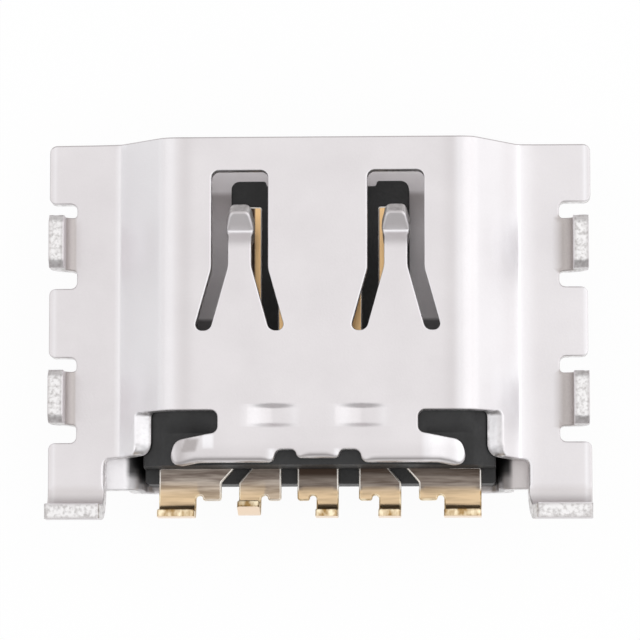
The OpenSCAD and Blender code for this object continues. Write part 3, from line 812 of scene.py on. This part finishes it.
class UpperWear:
    """Painted highlights and painted shade on the upper shell, and the cracked plating of its tight folds, as numbers
    per vertex.

    Lengths in here are in millimetres: u across the blank and a to either side, v along it, d from the mouth edge and n
    above the upper face. A mark is made of straight rises and bells in these. Marks that the photo shows on one side
    alone are placed by u, or told apart by left.
    """

    def __init__(self, fold, u, v, n):
        self.fold, self.shell, self.cut = InMm(fold), InMm(fold.shell), InMm(fold.cut)
        self.leg = fold.leg_mask(np.abs(u), HALF_LENGTH - v)
        self.u, self.v, self.n = u / MM, v / MM, n / MM
        self.a, self.d = np.abs(self.u), (HALF_LENGTH - v) / MM
        self.left, self.upper = u < 0, self.n > -0.1
        self.lip_u, wall_u = fold.u(fold.shell.lip_in) / MM, fold.u(fold.cut.opening_out) / MM
        self.lines = [fold.u(x) / MM for x in (fold.shell.line_1, fold.shell.line_2)]
        a, d, shell, cut = self.a, self.d, self.shell, self.cut
        self.spring = (np.abs(a - cut.spring_x) < 0.6 * cut.nose_w) & (d > cut.slot_start) & (d < cut.stem_end)
        self.wall = (np.abs(a - wall_u - 0.1) < 0.13) & (d > cut.opening_start + 0.04) & (d < shell.slope_end - 0.05)
        self.by_ears = a < cut.ear_reach + 0.2

    def burnish(self):
        """Painted highlights on creases, slopes, spots and rims, and on the openings' outer walls."""
        wall = self.wall & (self.n < -0.01) & (self.n > 0.02 - self.shell.sheet)
        shine = self.creases() + self.slopes() + self.spots() + self.rims()
        return np.where(self.upper, np.clip(shine, 0, 1), wall)

    def creases(self):
        """Painted highlights along the creases and on the folds beside the face."""
        a, fold = self.a, self.fold
        left = 0.85 * peak(a, self.lines[0], 0.045) + 0.4 * peak(a, self.lines[1], 0.035)
        right = 0.7 * peak(a, (fold.crease + fold.ease) / 2, 0.03)
        folds = 0.35 * peak(a, fold.face + 0.1, 0.1) + 0.3 * peak(a, fold.face + 0.23, 0.08)
        return np.where(self.left, left, right) + folds + 0.3 * peak(self.u, fold.face - 0.02, 0.06)

    def slopes(self):
        """Painted highlights on the slopes, stronger where they face the legs, and on the right flange beside its
        crease.
        """
        a, d, u, fold, shell = self.a, self.d, self.u, self.fold, self.shell
        slope = box_mask(a, fold.face + 0.25, fold.crease + 0.06, 0.1)
        even = np.where(self.left, 0.65, 0.45 - 0.2 * rise(a, fold.crease - 0.5, 0.3))
        by_legs = peak(d, shell.leg_1, 0.5) + peak(d, shell.leg_2 - 0.1, 0.5)
        by_legs = by_legs * rise(a, fold.crease - 0.75, 0.35) * (0.45 + 0.6 * rise(u, fold.crease - 0.35, 0.2))
        flange = 0.4 * peak(u, fold.ease + 0.05, 0.2) + 0.12 * rise(u, fold.ease + 0.2, 0.3)
        return slope * (even + by_legs) + flange

    def spots(self):
        """Painted highlights in the valleys of the springs, on the flanks of the bridges, at the corners of the tail
        notches, and on both ears.
        """
        d, u, fold, cut = self.d, self.u, self.fold, self.cut
        valley = peak(self.v, (fold.valley + fold.nose) / 2, 0.03) * self.spring
        t = (u - np.sign(u) * cut.bridge_x) / (cut.bridge_w / 2)
        bridge = np.where(self.left, 0.42, 0.3) * peak(t, -0.7, 0.35) + 0.2 * peak(t, 0.8, 0.2)
        bridge = bridge * (np.abs(d - cut.bridge_d) < 0.6 * cut.bridge_l)
        reach = cut.tail_notch_w / 2
        notch = peak(u, -cut.tail_notch_x - reach - 0.04, 0.07) + peak(u, cut.tail_notch_x - reach - 0.03, 0.05)
        left_ear = 0.7 * box_mask(u, -2.23, -1.97, 0.05) * box_mask(d, 5.68, 6.0, 0.05)
        right_ear = 0.6 * rise(u, 1.97, 0.1) * (d > 5.6) * self.by_ears
        return valley + bridge + notch * rise(d, 5.97, 0.04) + left_ear + right_ear

    def rims(self):
        """Painted highlights on the rolled rims inside the lips and round the springs, and a painted highlight line
        along the flanges' edges.
        """
        a, d, shell, cut = self.a, self.d, self.shell, self.cut
        lip = (np.abs(a - self.lip_u + 0.06) < 0.15) & (d > shell.slope_end)
        slot = (np.abs(a - cut.spring_x) < 0.95) & (d > cut.slot_start - 0.1) & (d < cut.slot_end + 0.1)
        line = np.where(self.left, 0.3, 0.5) * peak(a, self.fold.edge - 0.11, 0.035) * ~self.leg
        return 0.45 * (lip | slot) * (self.n < -0.001) + line

    def strain(self):
        """Cracked plating inside the folds of the legs and lips, which also carries their painted shade."""
        a, d, fold, shell = self.a, self.d, self.fold, self.shell
        near = np.minimum(np.abs(d - shell.leg_1), np.abs(d - shell.leg_2)) < shell.leg_w / 2 + 0.05
        leg = near * rise(a, fold.leg_root - np.where(self.left, 0.01, 0.12), 0.04)
        leg = leg * fall(a, fold.leg_root + shell.leg_fold * pi / 2 + 0.02, 0.05)
        lip = (a > fold.ease) * rise(d, shell.flange_l - 0.05, 0.04)
        lip = lip * fall(d, shell.flange_l + shell.lip_fold * pi / 2 + 0.02, 0.06)
        return np.clip(np.where(self.left, 0.7, 0.8) * leg + 0.26 * lip, 0, 1) * self.upper

    def dull(self, cut_wall):
        """Painted shade along the mouth edge, beside the folds by the face, towards the tail, beside and on the left
        ear and on the springs' dips and noses, and on the borders of the edges and of the cut ends.
        """
        a, d, u, n, fold, cut = self.a, self.d, self.u, self.n, self.fold, self.cut
        mouth = 0.65 * (d < self.shell.mouth_step) * (n < -0.0005)
        darkening = np.where(self.left, 0.19, 0.16) * peak(a, fold.face - 0.17, 0.14)
        darkening = darkening + 0.12 * (a < fold.face) * rise(d, 5.85, 0.15)
        darkening = darkening + 0.55 * peak(u, -2.68, 0.12) * rise(d, 5.7, 0.1)
        dip = 0.15 * self.spring * rise(self.v, fold.dip, 0.2)
        # A darker patch on the left ear: painted shade of a steeper facet.
        dark_patch = box_mask(u + 0.3 * (d - 5.9), -2.6, -2.28, 0.06) * box_mask(d, 5.76, 6.06, 0.06)
        nose = 0.75 * self.spring * rise(self.v, fold.tip - 0.07, 0.05)
        edge = 0.75 * self.by_ears * rise(d, cut.face_end - 0.25, 0.05) * peak(n, -0.025, 0.02)
        edge = edge + 0.35 * (a > fold.edge - 0.04) * peak(n, -0.03, 0.02) * ~self.leg
        border = nose + edge + cut_wall * self.ends()
        return np.maximum(np.clip(mouth + darkening + dip + dark_patch, 0, 1) * self.upper, border)

    def ends(self):
        """Painted shade on the borders and chamfers of the legs' and lips' cut ends, round their torn middles."""
        a, fold, shell = self.a, self.fold, self.shell
        middle = box_mask(self.n, 0.02 - shell.sheet, -0.04, 0.03)
        chamfer = box_mask(a, fold.leg_tip - shell.leg_chamfer - 0.02, fold.leg_tip - 0.02, 0.02)
        leg = rise(a, fold.leg_tip - 0.04, 0.02) * (1 - middle)
        lip = (a > fold.ease) * rise(self.d, fold.lip_tip - 0.06, 0.02)
        lip = lip * (1 - middle * box_mask(a, self.lip_u + 0.03, fold.edge - 0.03, 0.05))
        return 0.5 * chamfer + 0.5 * leg + 0.4 * lip


class PORT_OT_upper_shell(bpy.types.Operator):
    """Folds the upper shell with its flanges, legs, lips, springs, bridges and ears"""

    bl_idname = "port.upper_shell"
    bl_label = "Upper shell"

    def execute(self, context):
        scene = context.scene
        shell, cut = scene.port_shell, scene.port_springs
        fold = UpperFold(shell, cut)
        right = upper_outline(
            fold, -0.2 * shell.leg_shift, trim=0.06 * MM, deep=0.07 * MM, late=0.04 * MM, lean=0.12 * MM
        )
        left = upper_outline(fold, shell.leg_shift, lift=0.04 * MM)
        loops = [rounded(mirrored(right, left))]
        loops += [rounded(slot_outline(fold, side), 0.03 * MM) for side in (-1, 1)]
        face_end = fold.face + (shell.face_fold + shell.sheet) * fold.slope
        leg_end = fold.leg_root + shell.leg_fold * pi / 2
        lip_end = shell.flange_l + 0.43 * MM
        flanks = [fold.v(cut.bridge_d + side * cut.bridge_l / 2) for side in (-1, 1)]
        drawn = 0.6 * cut.shear
        u_lines = both(
            spread(
                (0, fold.face, 0.15 * MM),
                (cut.bridge_x - cut.bridge_w / 2, cut.bridge_x + cut.bridge_w / 2, 0.03 * MM),
                (fold.ear_root, fold.ear_root + 0.12 * MM, 0.025 * MM),
                (1.94 * MM, 2.64 * MM, 0.03 * MM),  # painted shade and painted highlights on the ears
                (fold.face, face_end, 0.04 * MM),
                (face_end, fold.crease, 0.12 * MM),
                (fold.crease, fold.ease, 0.014 * MM),
                (fold.ease, fold.flat, 0.08 * MM),
                (fold.flat, fold.leg_root, 0.12 * MM),
                (fold.leg_root, leg_end, 0.035 * MM),
                (leg_end, fold.leg_tip, 0.1 * MM),
                (fold.edge - 0.17 * MM, fold.edge - 0.05 * MM, 0.03 * MM),
            )
        )
        v_lines = spread(
            (fold.v(fold.lip_tip), fold.v(lip_end), 0.1 * MM),
            (fold.v(lip_end), fold.v(shell.flange_l), 0.035 * MM),
            (fold.v(shell.flange_l), fold.dip, 0.14 * MM),
            *((flank - drawn, flank + drawn, drawn / 3) for flank in flanks),
            (fold.v(6.12 * MM), fold.v(5.72 * MM), 0.03 * MM),  # painted shade and painted highlights on the ears
            (fold.dip, fold.valley, 0.035 * MM),
            (fold.valley, fold.nose, 0.01 * MM),
            (fold.nose, fold.v(0), 0.12 * MM),
        )
        out, lip_in = fold.u(cut.opening_out), fold.u(shell.lip_in)

        def roll(u, v):
            """Die roll along the rim: wide at the face's tail edge, round the noses and inside the lips."""
            a, d = np.abs(u), HALF_LENGTH - v
            tail = rise(d, cut.face_end - 0.2 * MM, 0.1 * MM) * (a < cut.ear_reach + 0.2 * MM)
            tail = tail * (1 - 0.5 * rise(a, 2.5 * MM, 0.25 * MM))
            corners = (peak(a, cut.tail_notch_x + side * cut.tail_notch_w / 2, 0.14 * MM) for side in (-1, 1))
            tail = tail * (1 - 0.85 * np.maximum(*corners))
            nose = (np.abs(a - cut.spring_x) < 0.55 * cut.nose_w) & (v > fold.valley) & (d > cut.slot_start + 0.1 * MM)
            inner = box_mask(d, shell.slope_end, shell.flange_l, 0.15 * MM)
            inner = inner * (np.abs(a - lip_in + 0.06 * MM) < 0.13 * MM)
            return shell.die_roll * (1 + 3.2 * tail + 0.8 * nose + 1.5 * inner)

        def slant(u, v):
            """The openings' outer walls lean, so that their lower edges stand out."""
            a, d = np.abs(u), HALF_LENGTH - v
            side = rise(d, cut.opening_start, 0.08 * MM) * (a > out - 0.03 * MM) * (d < shell.slope_end + 0.06 * MM)
            return cut.slant * side * fall(a, out + 0.24 * MM, 0.18 * MM)

        rim_sizes = (shell.sheet, roll, slant, 0.015 * MM, 4, 0.015 * MM)
        mesh, u, v, n = sheet_mesh(
            "upper_shell", loops, rim_sizes, (u_lines, v_lines), fold, clear=0.02 * MM, rough=0.006 * MM
        )
        tones = UpperWear(fold, u, v, n)
        # On the openings' outer walls the sheared colour gives way to a painted highlight.
        sheared = painted(mesh, "sheared") * np.where(tones.wall, 0.2, 1)
        paint(mesh, "sheared", sheared)
        # Painted highlight, cracked plating that also carries painted shade, and painted shade.
        paint(mesh, "burnish", tones.burnish())
        paint(mesh, "strain", tones.strain())
        paint(mesh, "dull", tones.dull(sheared > 0.5))
        add_piece(mesh, finish_of(context, satin_steel), "upper_shell")
        return {"FINISHED"}


class PORT_OT_lower_shell(bpy.types.Operator):
    """Folds the lower shell: floor, walls and short flanges under those of the upper shell"""

    bl_idname = "port.lower_shell"
    bl_label = "Lower shell"

    def execute(self, context):
        tray = context.scene.port_tray
        wall = tray.cavity_w / 2 - tray.floor_fold
        top = wall + tray.floor_fold * pi / 2 + tray.wall
        outer = tray.flange_fold + tray.sheet
        flange = top + outer * pi / 2
        edge = flange + tray.tray_w / 2 - tray.cavity_w / 2 - outer

        def place(u, v, n):
            """Walls folded up from the floor, flanges folded out from the walls."""
            a, h = bend(np.abs(u), n, top, -pi / 2, outer)
            a, h = bend(a, h, wall, pi / 2, tray.floor_fold)
            return np.copysign(a, u), v, tray.sheet + h

        tail, relief = HALF_LENGTH - tray.tray_l, tray.relief_w / 2
        right = [
            (edge, HALF_LENGTH, 0.14 * MM),
            (edge, tail, 0.14 * MM),
            (relief, tail, 0.08 * MM),
            (relief, tail + tray.relief_l, 0.13 * MM),
        ]
        u_lines = both(
            spread(
                (0, wall, 0.25 * MM),
                (wall, top, 0.03 * MM),
                (top, flange, 0.05 * MM),
                (flange, edge, 0.2 * MM),
            )
        )
        v_lines = spread(
            (tail, tail + 1.2 * MM, 0.07 * MM),
            (tail + 1.2 * MM, HALF_LENGTH, 0.25 * MM),
            (HALF_LENGTH - 3.32 * MM, HALF_LENGTH - 3.24 * MM, 0.03 * MM),
            (HALF_LENGTH - 0.9 * MM, HALF_LENGTH - 0.7 * MM, 0.03 * MM),
        )
        rim_sizes = (tray.sheet, 0.03 * MM, 0, 0.015 * MM, 4, 0.015 * MM)
        mesh, u, v, n = sheet_mesh(
            "lower_shell", [rounded(mirrored(right))], rim_sizes, (u_lines, v_lines), place,
            clear=0.02 * MM, rough=0.006 * MM, seed=2,
        )
        a, d, upper, left = np.abs(u), HALF_LENGTH - v, n > -0.1 * MM, u < 0
        # Painted highlight on the left flange fold and painted shade, laid as cracked plating, on the right one.
        folds = rise(a, top + 0.2 * MM, 0.15 * MM) * upper
        paint(mesh, "burnish", 0.6 * folds * left)
        paint(mesh, "strain", 0.45 * folds * ~left)
        # Painted shade on the floor behind the mouth, seen through the slots, fading further in.
        fade = 0.8 * rise(d, 0.9 * MM, 0.6 * MM) + 0.2 * rise(d, 1.5 * MM, 0.8 * MM)
        paint(mesh, "dull", rise(d, 0.73 * MM, 0.1 * MM) * (1 - fade) * (a < top) * upper)
        # Painted shadow on the flange folds beside the block and on the floor under the slots' ends.
        reach = top + np.where(left, 0.53 * MM, 0.49 * MM)
        beside = fall(a, reach, 0.06 * MM) * rise(d, 5.5 * MM, 0.2 * MM) * (a > wall)
        beside = beside * (1 - 0.6 * rise(d, 6.38 * MM, 0.12 * MM))
        deep = rise(d, 3.25 * MM, 0.06 * MM) * fall(d, 4.2 * MM, 0.2 * MM) * (a < wall)
        paint(mesh, "flux", (0.92 * beside + 0.75 * deep) * upper)
        add_piece(mesh, finish_of(context, satin_steel), "lower_shell")
        return {"FINISHED"}


class PORT_OT_housing(bpy.types.Operator):
    """Moulds the housing: tongue, block and ledge as one plan outline between an upper and a lower height"""

    bl_idname = "port.housing"
    bl_label = "Housing"

    def execute(self, context):
        scene = context.scene
        size, cut = scene.port_housing, scene.port_springs
        fold = UpperFold(scene.port_shell, cut)
        step = 0.012 * MM
        half = size.block_w / 2
        fold_r = scene.port_shell.face_fold - 0.02 * MM
        fold_z = size.block_top - fold_r
        corner = 0.14 * MM
        reach, width = cut.bridge_w / 2 + 0.05 * MM, cut.bridge_l / 2 + 0.05 * MM

        def ramp(value, start):
            """Nought before start, one behind it, over one short step."""
            return np.clip((value - start) / step + 0.5, 0, 1)

        def heights(x, d):
            """Upper and lower height of the moulding over a place of its plan."""
            a = np.abs(x)
            turn = np.clip((a - fold.face) / fold_r, 0, np.sin(fold.slope))
            slope = np.maximum(a - fold.face - fold_r * np.sin(fold.slope), 0) * np.tan(fold.slope)
            block = fold_z + fold_r * np.sqrt(1 - turn**2) - slope
            pocket = rise(a, size.pocket_x - 0.1 * MM, 0.25 * MM) * rise(d, size.pocket_d - 0.3 * MM, 0.3 * MM)
            block = np.where(pocket > 0, np.minimum(block, block + (size.pocket_z - block) * pocket), block)
            bridge = ramp(reach - np.abs(a - cut.bridge_x), 0) * ramp(width - np.abs(d - cut.bridge_d), 0)
            block = block - 0.15 * MM * bridge
            high = size.tongue_top + (block - size.tongue_top) * ramp(d, size.block_start)
            high = high + (size.ledge_top - high) * ramp(d, size.block_end)
            low = size.tongue_top - size.tongue_t + np.maximum(0.1 * MM - (d - size.tongue_start), 0)
            edge = np.maximum(a - half + corner, 0)
            floor = size.bottom + corner - np.sqrt(np.maximum(corner**2 - edge**2, 0))
            return high, low + (floor - low) * ramp(d, size.block_start)

        def place(u, v, n):
            """The blank's height, from -1 mm to 0, spread between the lower and the upper height."""
            high, low = heights(u, HALF_LENGTH - v)
            return u, v, high + (high - low) * n / MM

        def plan(recess):
            """Corners of one half of the plan, from the recess in the tongue's front to the ledge."""
            tongue = size.tongue_w / 2
            corners = [
                (recess, size.tongue_start + size.recess_l, 0.04 * MM),
                (recess, size.tongue_start, 0.05 * MM),
                (tongue, size.tongue_start, size.tongue_r),
                (tongue, size.block_start, 0.04 * MM),
                (half, size.block_start, 0.05 * MM),
                (half, size.ledge_end, 0.08 * MM),
            ]
            return [(u, HALF_LENGTH - d, r) for u, d, r in corners]

        recess = size.recess_w / 2
        outline = mirrored(plan(recess + size.recess_x), plan(recess - size.recess_x))
        near = 0.02 * MM

        def at(*places):
            """Close lines on both sides of each place."""
            return [(p - near, p + near, near / 2) for p in places]

        across_x = at(cut.bridge_x - reach, cut.bridge_x + reach, size.pocket_x)
        u_lines = both(spread((0, fold.face, 0.3 * MM), (fold.face, half, 0.05 * MM), *across_x))
        stops = (size.block_start, size.block_end, size.pocket_d, cut.bridge_d - width, cut.bridge_d + width)
        stops = at(*(HALF_LENGTH - d for d in stops))
        v_lines = spread((HALF_LENGTH - size.ledge_end, HALF_LENGTH - size.tongue_start, 0.3 * MM), *stops)
        rim_sizes = (MM, 0.035 * MM, 0, 0.035 * MM, 1, 0.006 * MM)
        mesh, *_ = sheet_mesh(
            "housing", [rounded(outline)], rim_sizes, (u_lines, v_lines), place,
            clear=0.004 * MM, angle_limit=radians(40),
        )
        add_piece(mesh, finish_of(context, black_plastic), "housing")
        return {"FINISHED"}


def lead_outline(size, index):
    """Corners of a contact, drawn with its solder tail on the right: strip, arm, plate, tail and stub."""
    offset = abs(index - 3)
    side = -1 if index < 3 else 1
    plate_w, plate_x, tail_w = {
        2: (size.outer_w, size.outer_x, size.outer_tail),
        1: (size.inner_w, size.inner_x, size.inner_tail),
        0: (size.mid_w, -size.mid_x, size.inner_tail),
    }[offset]
    x, half = offset * size.pitch, size.width / 2
    inner, outer = plate_x - plate_w / 2, plate_x + plate_w / 2
    tip = size.tail_d + size.tail_fold * (pi / 2 - 1) + size.tail_h
    notch = outer - tail_w
    small = 0.055 * MM
    shoulder = {
        2: [(plate_x, size.shoulder, 0.06 * MM), (outer, size.shoulder, 0.06 * MM)],
        1: [(outer, size.arm_end, 0.1 * MM)],
        0: [(outer, size.shoulder, 0.06 * MM)],
    }[offset]
    corners = [
        (x - half, size.start, 0.055 * MM),
        (x + half, size.start, 0.055 * MM),
        (x + half, size.fan_start, 0.1 * MM),
        *shoulder,
        (outer, tip, small),
        (notch, tip, small),
        (notch, size.relief_d, 0.49 * size.relief),
        (notch - size.relief, size.relief_d, 0.49 * size.relief),
        (notch - size.relief, size.stub_end, 0.06 * MM),
        (inner, size.stub_end, 0.06 * MM),
        (inner, size.arm_end if offset == 2 else size.shoulder, 0.06 * MM),
        (x - half, size.fan_start, 0.1 * MM),
    ]
    return [(side * u, HALF_LENGTH - d, r) for u, d, r in corners], side * notch, side


class PORT_OT_contacts(bpy.types.Operator):
    """Stamps the five contacts and folds their solder tails up"""

    bl_idname = "port.contacts"
    bl_label = "Contacts"

    def execute(self, context):
        material = finish_of(context, gold_plate)
        for index in range(1, 6):
            mesh = self.contact(context.scene.port_contacts, index)
            add_piece(mesh, material, f"contact_{index}")
        return {"FINISHED"}

    def contact(self, size, index):
        """One contact, counted from the left; the second tail is bent too far, and each has its own share of painted
        shade.
        """
        corners, notch, side = lead_outline(size, index)
        turn, fold_d = (size.bent_a, size.tail_d - 0.05 * MM) if index == 2 else (size.tail_a, size.tail_d)
        fold_v, fan_v = HALF_LENGTH - fold_d, HALF_LENGTH - size.fan_start

        def place(u, v, n):
            """The tail folded up across the port; the stub beside it stays flat."""
            d = HALF_LENGTH - v
            tail = (d > fold_d) & (side * u > side * notch - size.relief / 2)
            bent_d, bent_n = bend(d, n, fold_d, turn, size.tail_fold)
            return u, HALF_LENGTH - np.where(tail, bent_d, d), size.top + np.where(tail, bent_n, n)

        loop = rounded(corners, 0.025 * MM)
        low, high = loop.min(0), loop.max(0)
        rim_x = side * (2 * size.pitch - 0.035 * MM)
        u_lines = spread((low[0], high[0], 0.06 * MM), (rim_x - 0.015 * MM, rim_x + 0.015 * MM, 0.015 * MM))
        v_lines = spread(
            (low[1], fold_v - 0.33 * MM, 0.06 * MM),
            (fold_v - 0.33 * MM, fold_v, 0.02 * MM),
            (fold_v, fan_v, 0.1 * MM),
            (fan_v, HALF_LENGTH - size.start, 0.05 * MM),
        )
        rim_sizes = (size.strip, 0.035 * MM, 0, 0.01 * MM, 2, 0.006 * MM)
        mesh, u, v, n = sheet_mesh(
            f"contact_{index}", [loop], rim_sizes, (u_lines, v_lines), place,
            clear=0.01 * MM, rough=0.004 * MM, seed=10 + index, wall=2,
        )
        d = HALF_LENGTH - v
        stub = side * (u - notch) + size.relief / 2 < 0
        left_tail = rise(d, size.plating_d, 0.27 * MM) * np.where(stub, 0.4, 1)
        right_tail = rise(d, size.plating_d + 0.13 * MM, 0.08 * MM)
        paint(mesh, "tail", left_tail if index < 3 else right_tail)
        paint(mesh, "outer", rise(d, fold_d, 0.1 * MM) * (n < -0.1 * MM))
        # Painted shade: the plates darken towards the block, each lead by its own share, and the outer parts of the
        # outer contacts darken on the tongue instead of taking gold.
        on_tongue = fall(d, size.fan_start, 0.1 * MM)
        band = rise(np.abs(u), 2 * size.pitch - 0.05 * MM, 0.03 * MM)
        darkening = 0.5 * fall(d, size.plating_d - 0.02 * MM, 0.15 * MM) + (0 if index < 3 else 0.48)
        paint(mesh, "tarnish", np.maximum((0.2, 1.0, 1.15, 0.9, 0.8)[index - 1] * darkening, on_tongue * band))
        paint(mesh, "plated", on_tongue * (1 - band))
        return mesh


class PORT_OT_stage(bpy.types.Operator):
    """Sets the camera, the pale floor, the white surroundings and the soft lights"""

    bl_idname = "port.stage"
    bl_label = "Stage"

    def execute(self, context):
        scene, stage = context.scene, context.scene.port_stage
        scene.view_settings.view_transform = "Standard"
        back = np.array([np.sin(stage.roll), -np.sin(stage.tilt), 0.0])
        back[2] = np.sqrt(1 - back @ back)
        camera = bpy.data.cameras.new("camera")
        camera.lens, camera.sensor_width = stage.lens, 36
        camera.clip_start, camera.clip_end = 0.001, 10
        target = np.array([0, stage.target_y, stage.target_z])
        scene.camera = self.aimed(scene, camera, target + stage.distance * back, back)

        line = np.linspace(-0.5, 0.5, 9)
        x, y = np.meshgrid(line, line)
        points = np.stack([x, y, x * 0 - 0.01 * MM], -1).reshape(-1, 3)
        i = np.arange(72).reshape(8, 9)[:, :8].ravel()
        mesh = bpy.data.meshes.new("floor")
        mesh.from_pydata(points, [], np.c_[i, i + 1, i + 10, i + 9].tolist())
        floor = bpy.data.objects.new("floor", mesh)
        scene.collection.objects.link(floor)
        mesh.materials.append(self.floor_material(stage))
        self.world(scene)
        for name, side, power in (("right_box", 1, 0.85), ("left_box", -1, 0.4)):
            light = bpy.data.lights.new(name, "AREA")
            light.shape, light.energy = "RECTANGLE", power
            light.size, light.size_y = 0.6, 1.2
            back = np.array([side, 0, 1]) / np.sqrt(2)
            self.aimed(scene, light, stage.box_distance * back, back)
        return {"FINISHED"}

    def aimed(self, scene, data, place, back):
        """A camera or lamp at a place, with its back along a direction and its top towards the mouth."""
        right = np.cross((0, 1, 0), back)
        right /= np.linalg.norm(right)
        matrix = np.eye(4)
        matrix[:3] = np.c_[right, np.cross(back, right), back, place]
        item = bpy.data.objects.new(data.name, data)
        scene.collection.objects.link(item)
        item.matrix_world = Matrix(matrix.tolist())
        return item

    def floor_material(self, stage):
        """Plain floor that shows white to camera, glossy and transmission rays, apart from a share of the shadow."""
        material, tree = new_material("floor")
        plain = tree.add("BsdfPrincipled", "BSDF", {"Base Color": (*stage.floor, 1), "Roughness": 0.9})
        white = tree.add("Emission", 0, {"Strength": 1.0})
        path = tree.add("LightPath", None, {})
        seen = path.outputs["Is Camera Ray"]
        for ray in ("Is Glossy Ray", "Is Transmission Ray"):
            seen = tree.math("MAXIMUM", seen, path.outputs[ray])
        seen = tree.math("MULTIPLY", seen, 1 - stage.shade)
        tree.add("OutputMaterial", None, {"Surface": tree.add("MixShader", 0, {0: seen, 1: plain, 2: white})})
        material.cycles.emission_sampling = "NONE"
        return material

    def world(self, scene):
        """A white tent that is darker before the tail and the mouth and low on the left."""
        scene.world = bpy.data.worlds.new("studio")
        tree = Tree(scene.world)
        split = tree.add("SeparateXYZ", None, {0: tree.add("TexCoord", "Generated", {})})
        strength = tree.level(split.outputs["Y"], 0.5, 1.0, -0.75, -0.3)
        for axis, *limits in (("Y", 1.0, 0.8, 0.3, 0.8), ("X", 0.72, 1.0, -0.98, -0.65)):
            strength = tree.math("MULTIPLY", strength, tree.level(split.outputs[axis], *limits))
        sky = tree.add("Background", 0, {"Color": (1, 1, 1, 1), "Strength": strength})
        tree.add("OutputWorld", None, {"Surface": sky})


class PORT_PT_panel(bpy.types.Panel):
    """Lists the port's sizes, finishes and pieces."""

    bl_idname = "PORT_PT_panel"
    bl_label = "Charging port"
    bl_space_type = "VIEW_3D"
    bl_region_type = "UI"
    bl_category = "Port"

    def draw(self, context):
        layout = self.layout
        for operator in PIECES:
            layout.operator(operator.bl_idname)
        for name, group in GROUPS.items():
            box = layout.box()
            box.label(text=group.__doc__)
            values = getattr(context.scene, name)
            for key in group.__annotations__:
                box.prop(values, key)


GROUPS = {
    "port_shell": PortShellSizes,
    "port_springs": PortSpringSizes,
    "port_tray": PortTraySizes,
    "port_housing": PortHousingSizes,
    "port_contacts": PortContactSizes,
    "port_finish": PortFinish,
    "port_stage": PortStage,
}
PIECES = (
    PORT_OT_stage,
    PORT_OT_upper_shell,
    PORT_OT_lower_shell,
    PORT_OT_housing,
    PORT_OT_contacts,
)


def register():
    """Registers the classes and hangs the properties on the scene."""
    for cls in (*GROUPS.values(), *PIECES, PORT_PT_panel):
        bpy.utils.register_class(cls)
    for name, group in GROUPS.items():
        setattr(bpy.types.Scene, name, bpy.props.PointerProperty(type=group))


def unregister():
    """Takes the properties and classes away again."""
    for name in GROUPS:
        delattr(bpy.types.Scene, name)
    for cls in (PORT_PT_panel, *PIECES, *GROUPS.values()):
        bpy.utils.unregister_class(cls)


def main():
    """Builds everything."""
    register()
    bpy.ops.port.stage()
    bpy.ops.port.upper_shell()
    bpy.ops.port.lower_shell()
    bpy.ops.port.housing()
    bpy.ops.port.contacts()


if __name__ == "__main__":
    main()
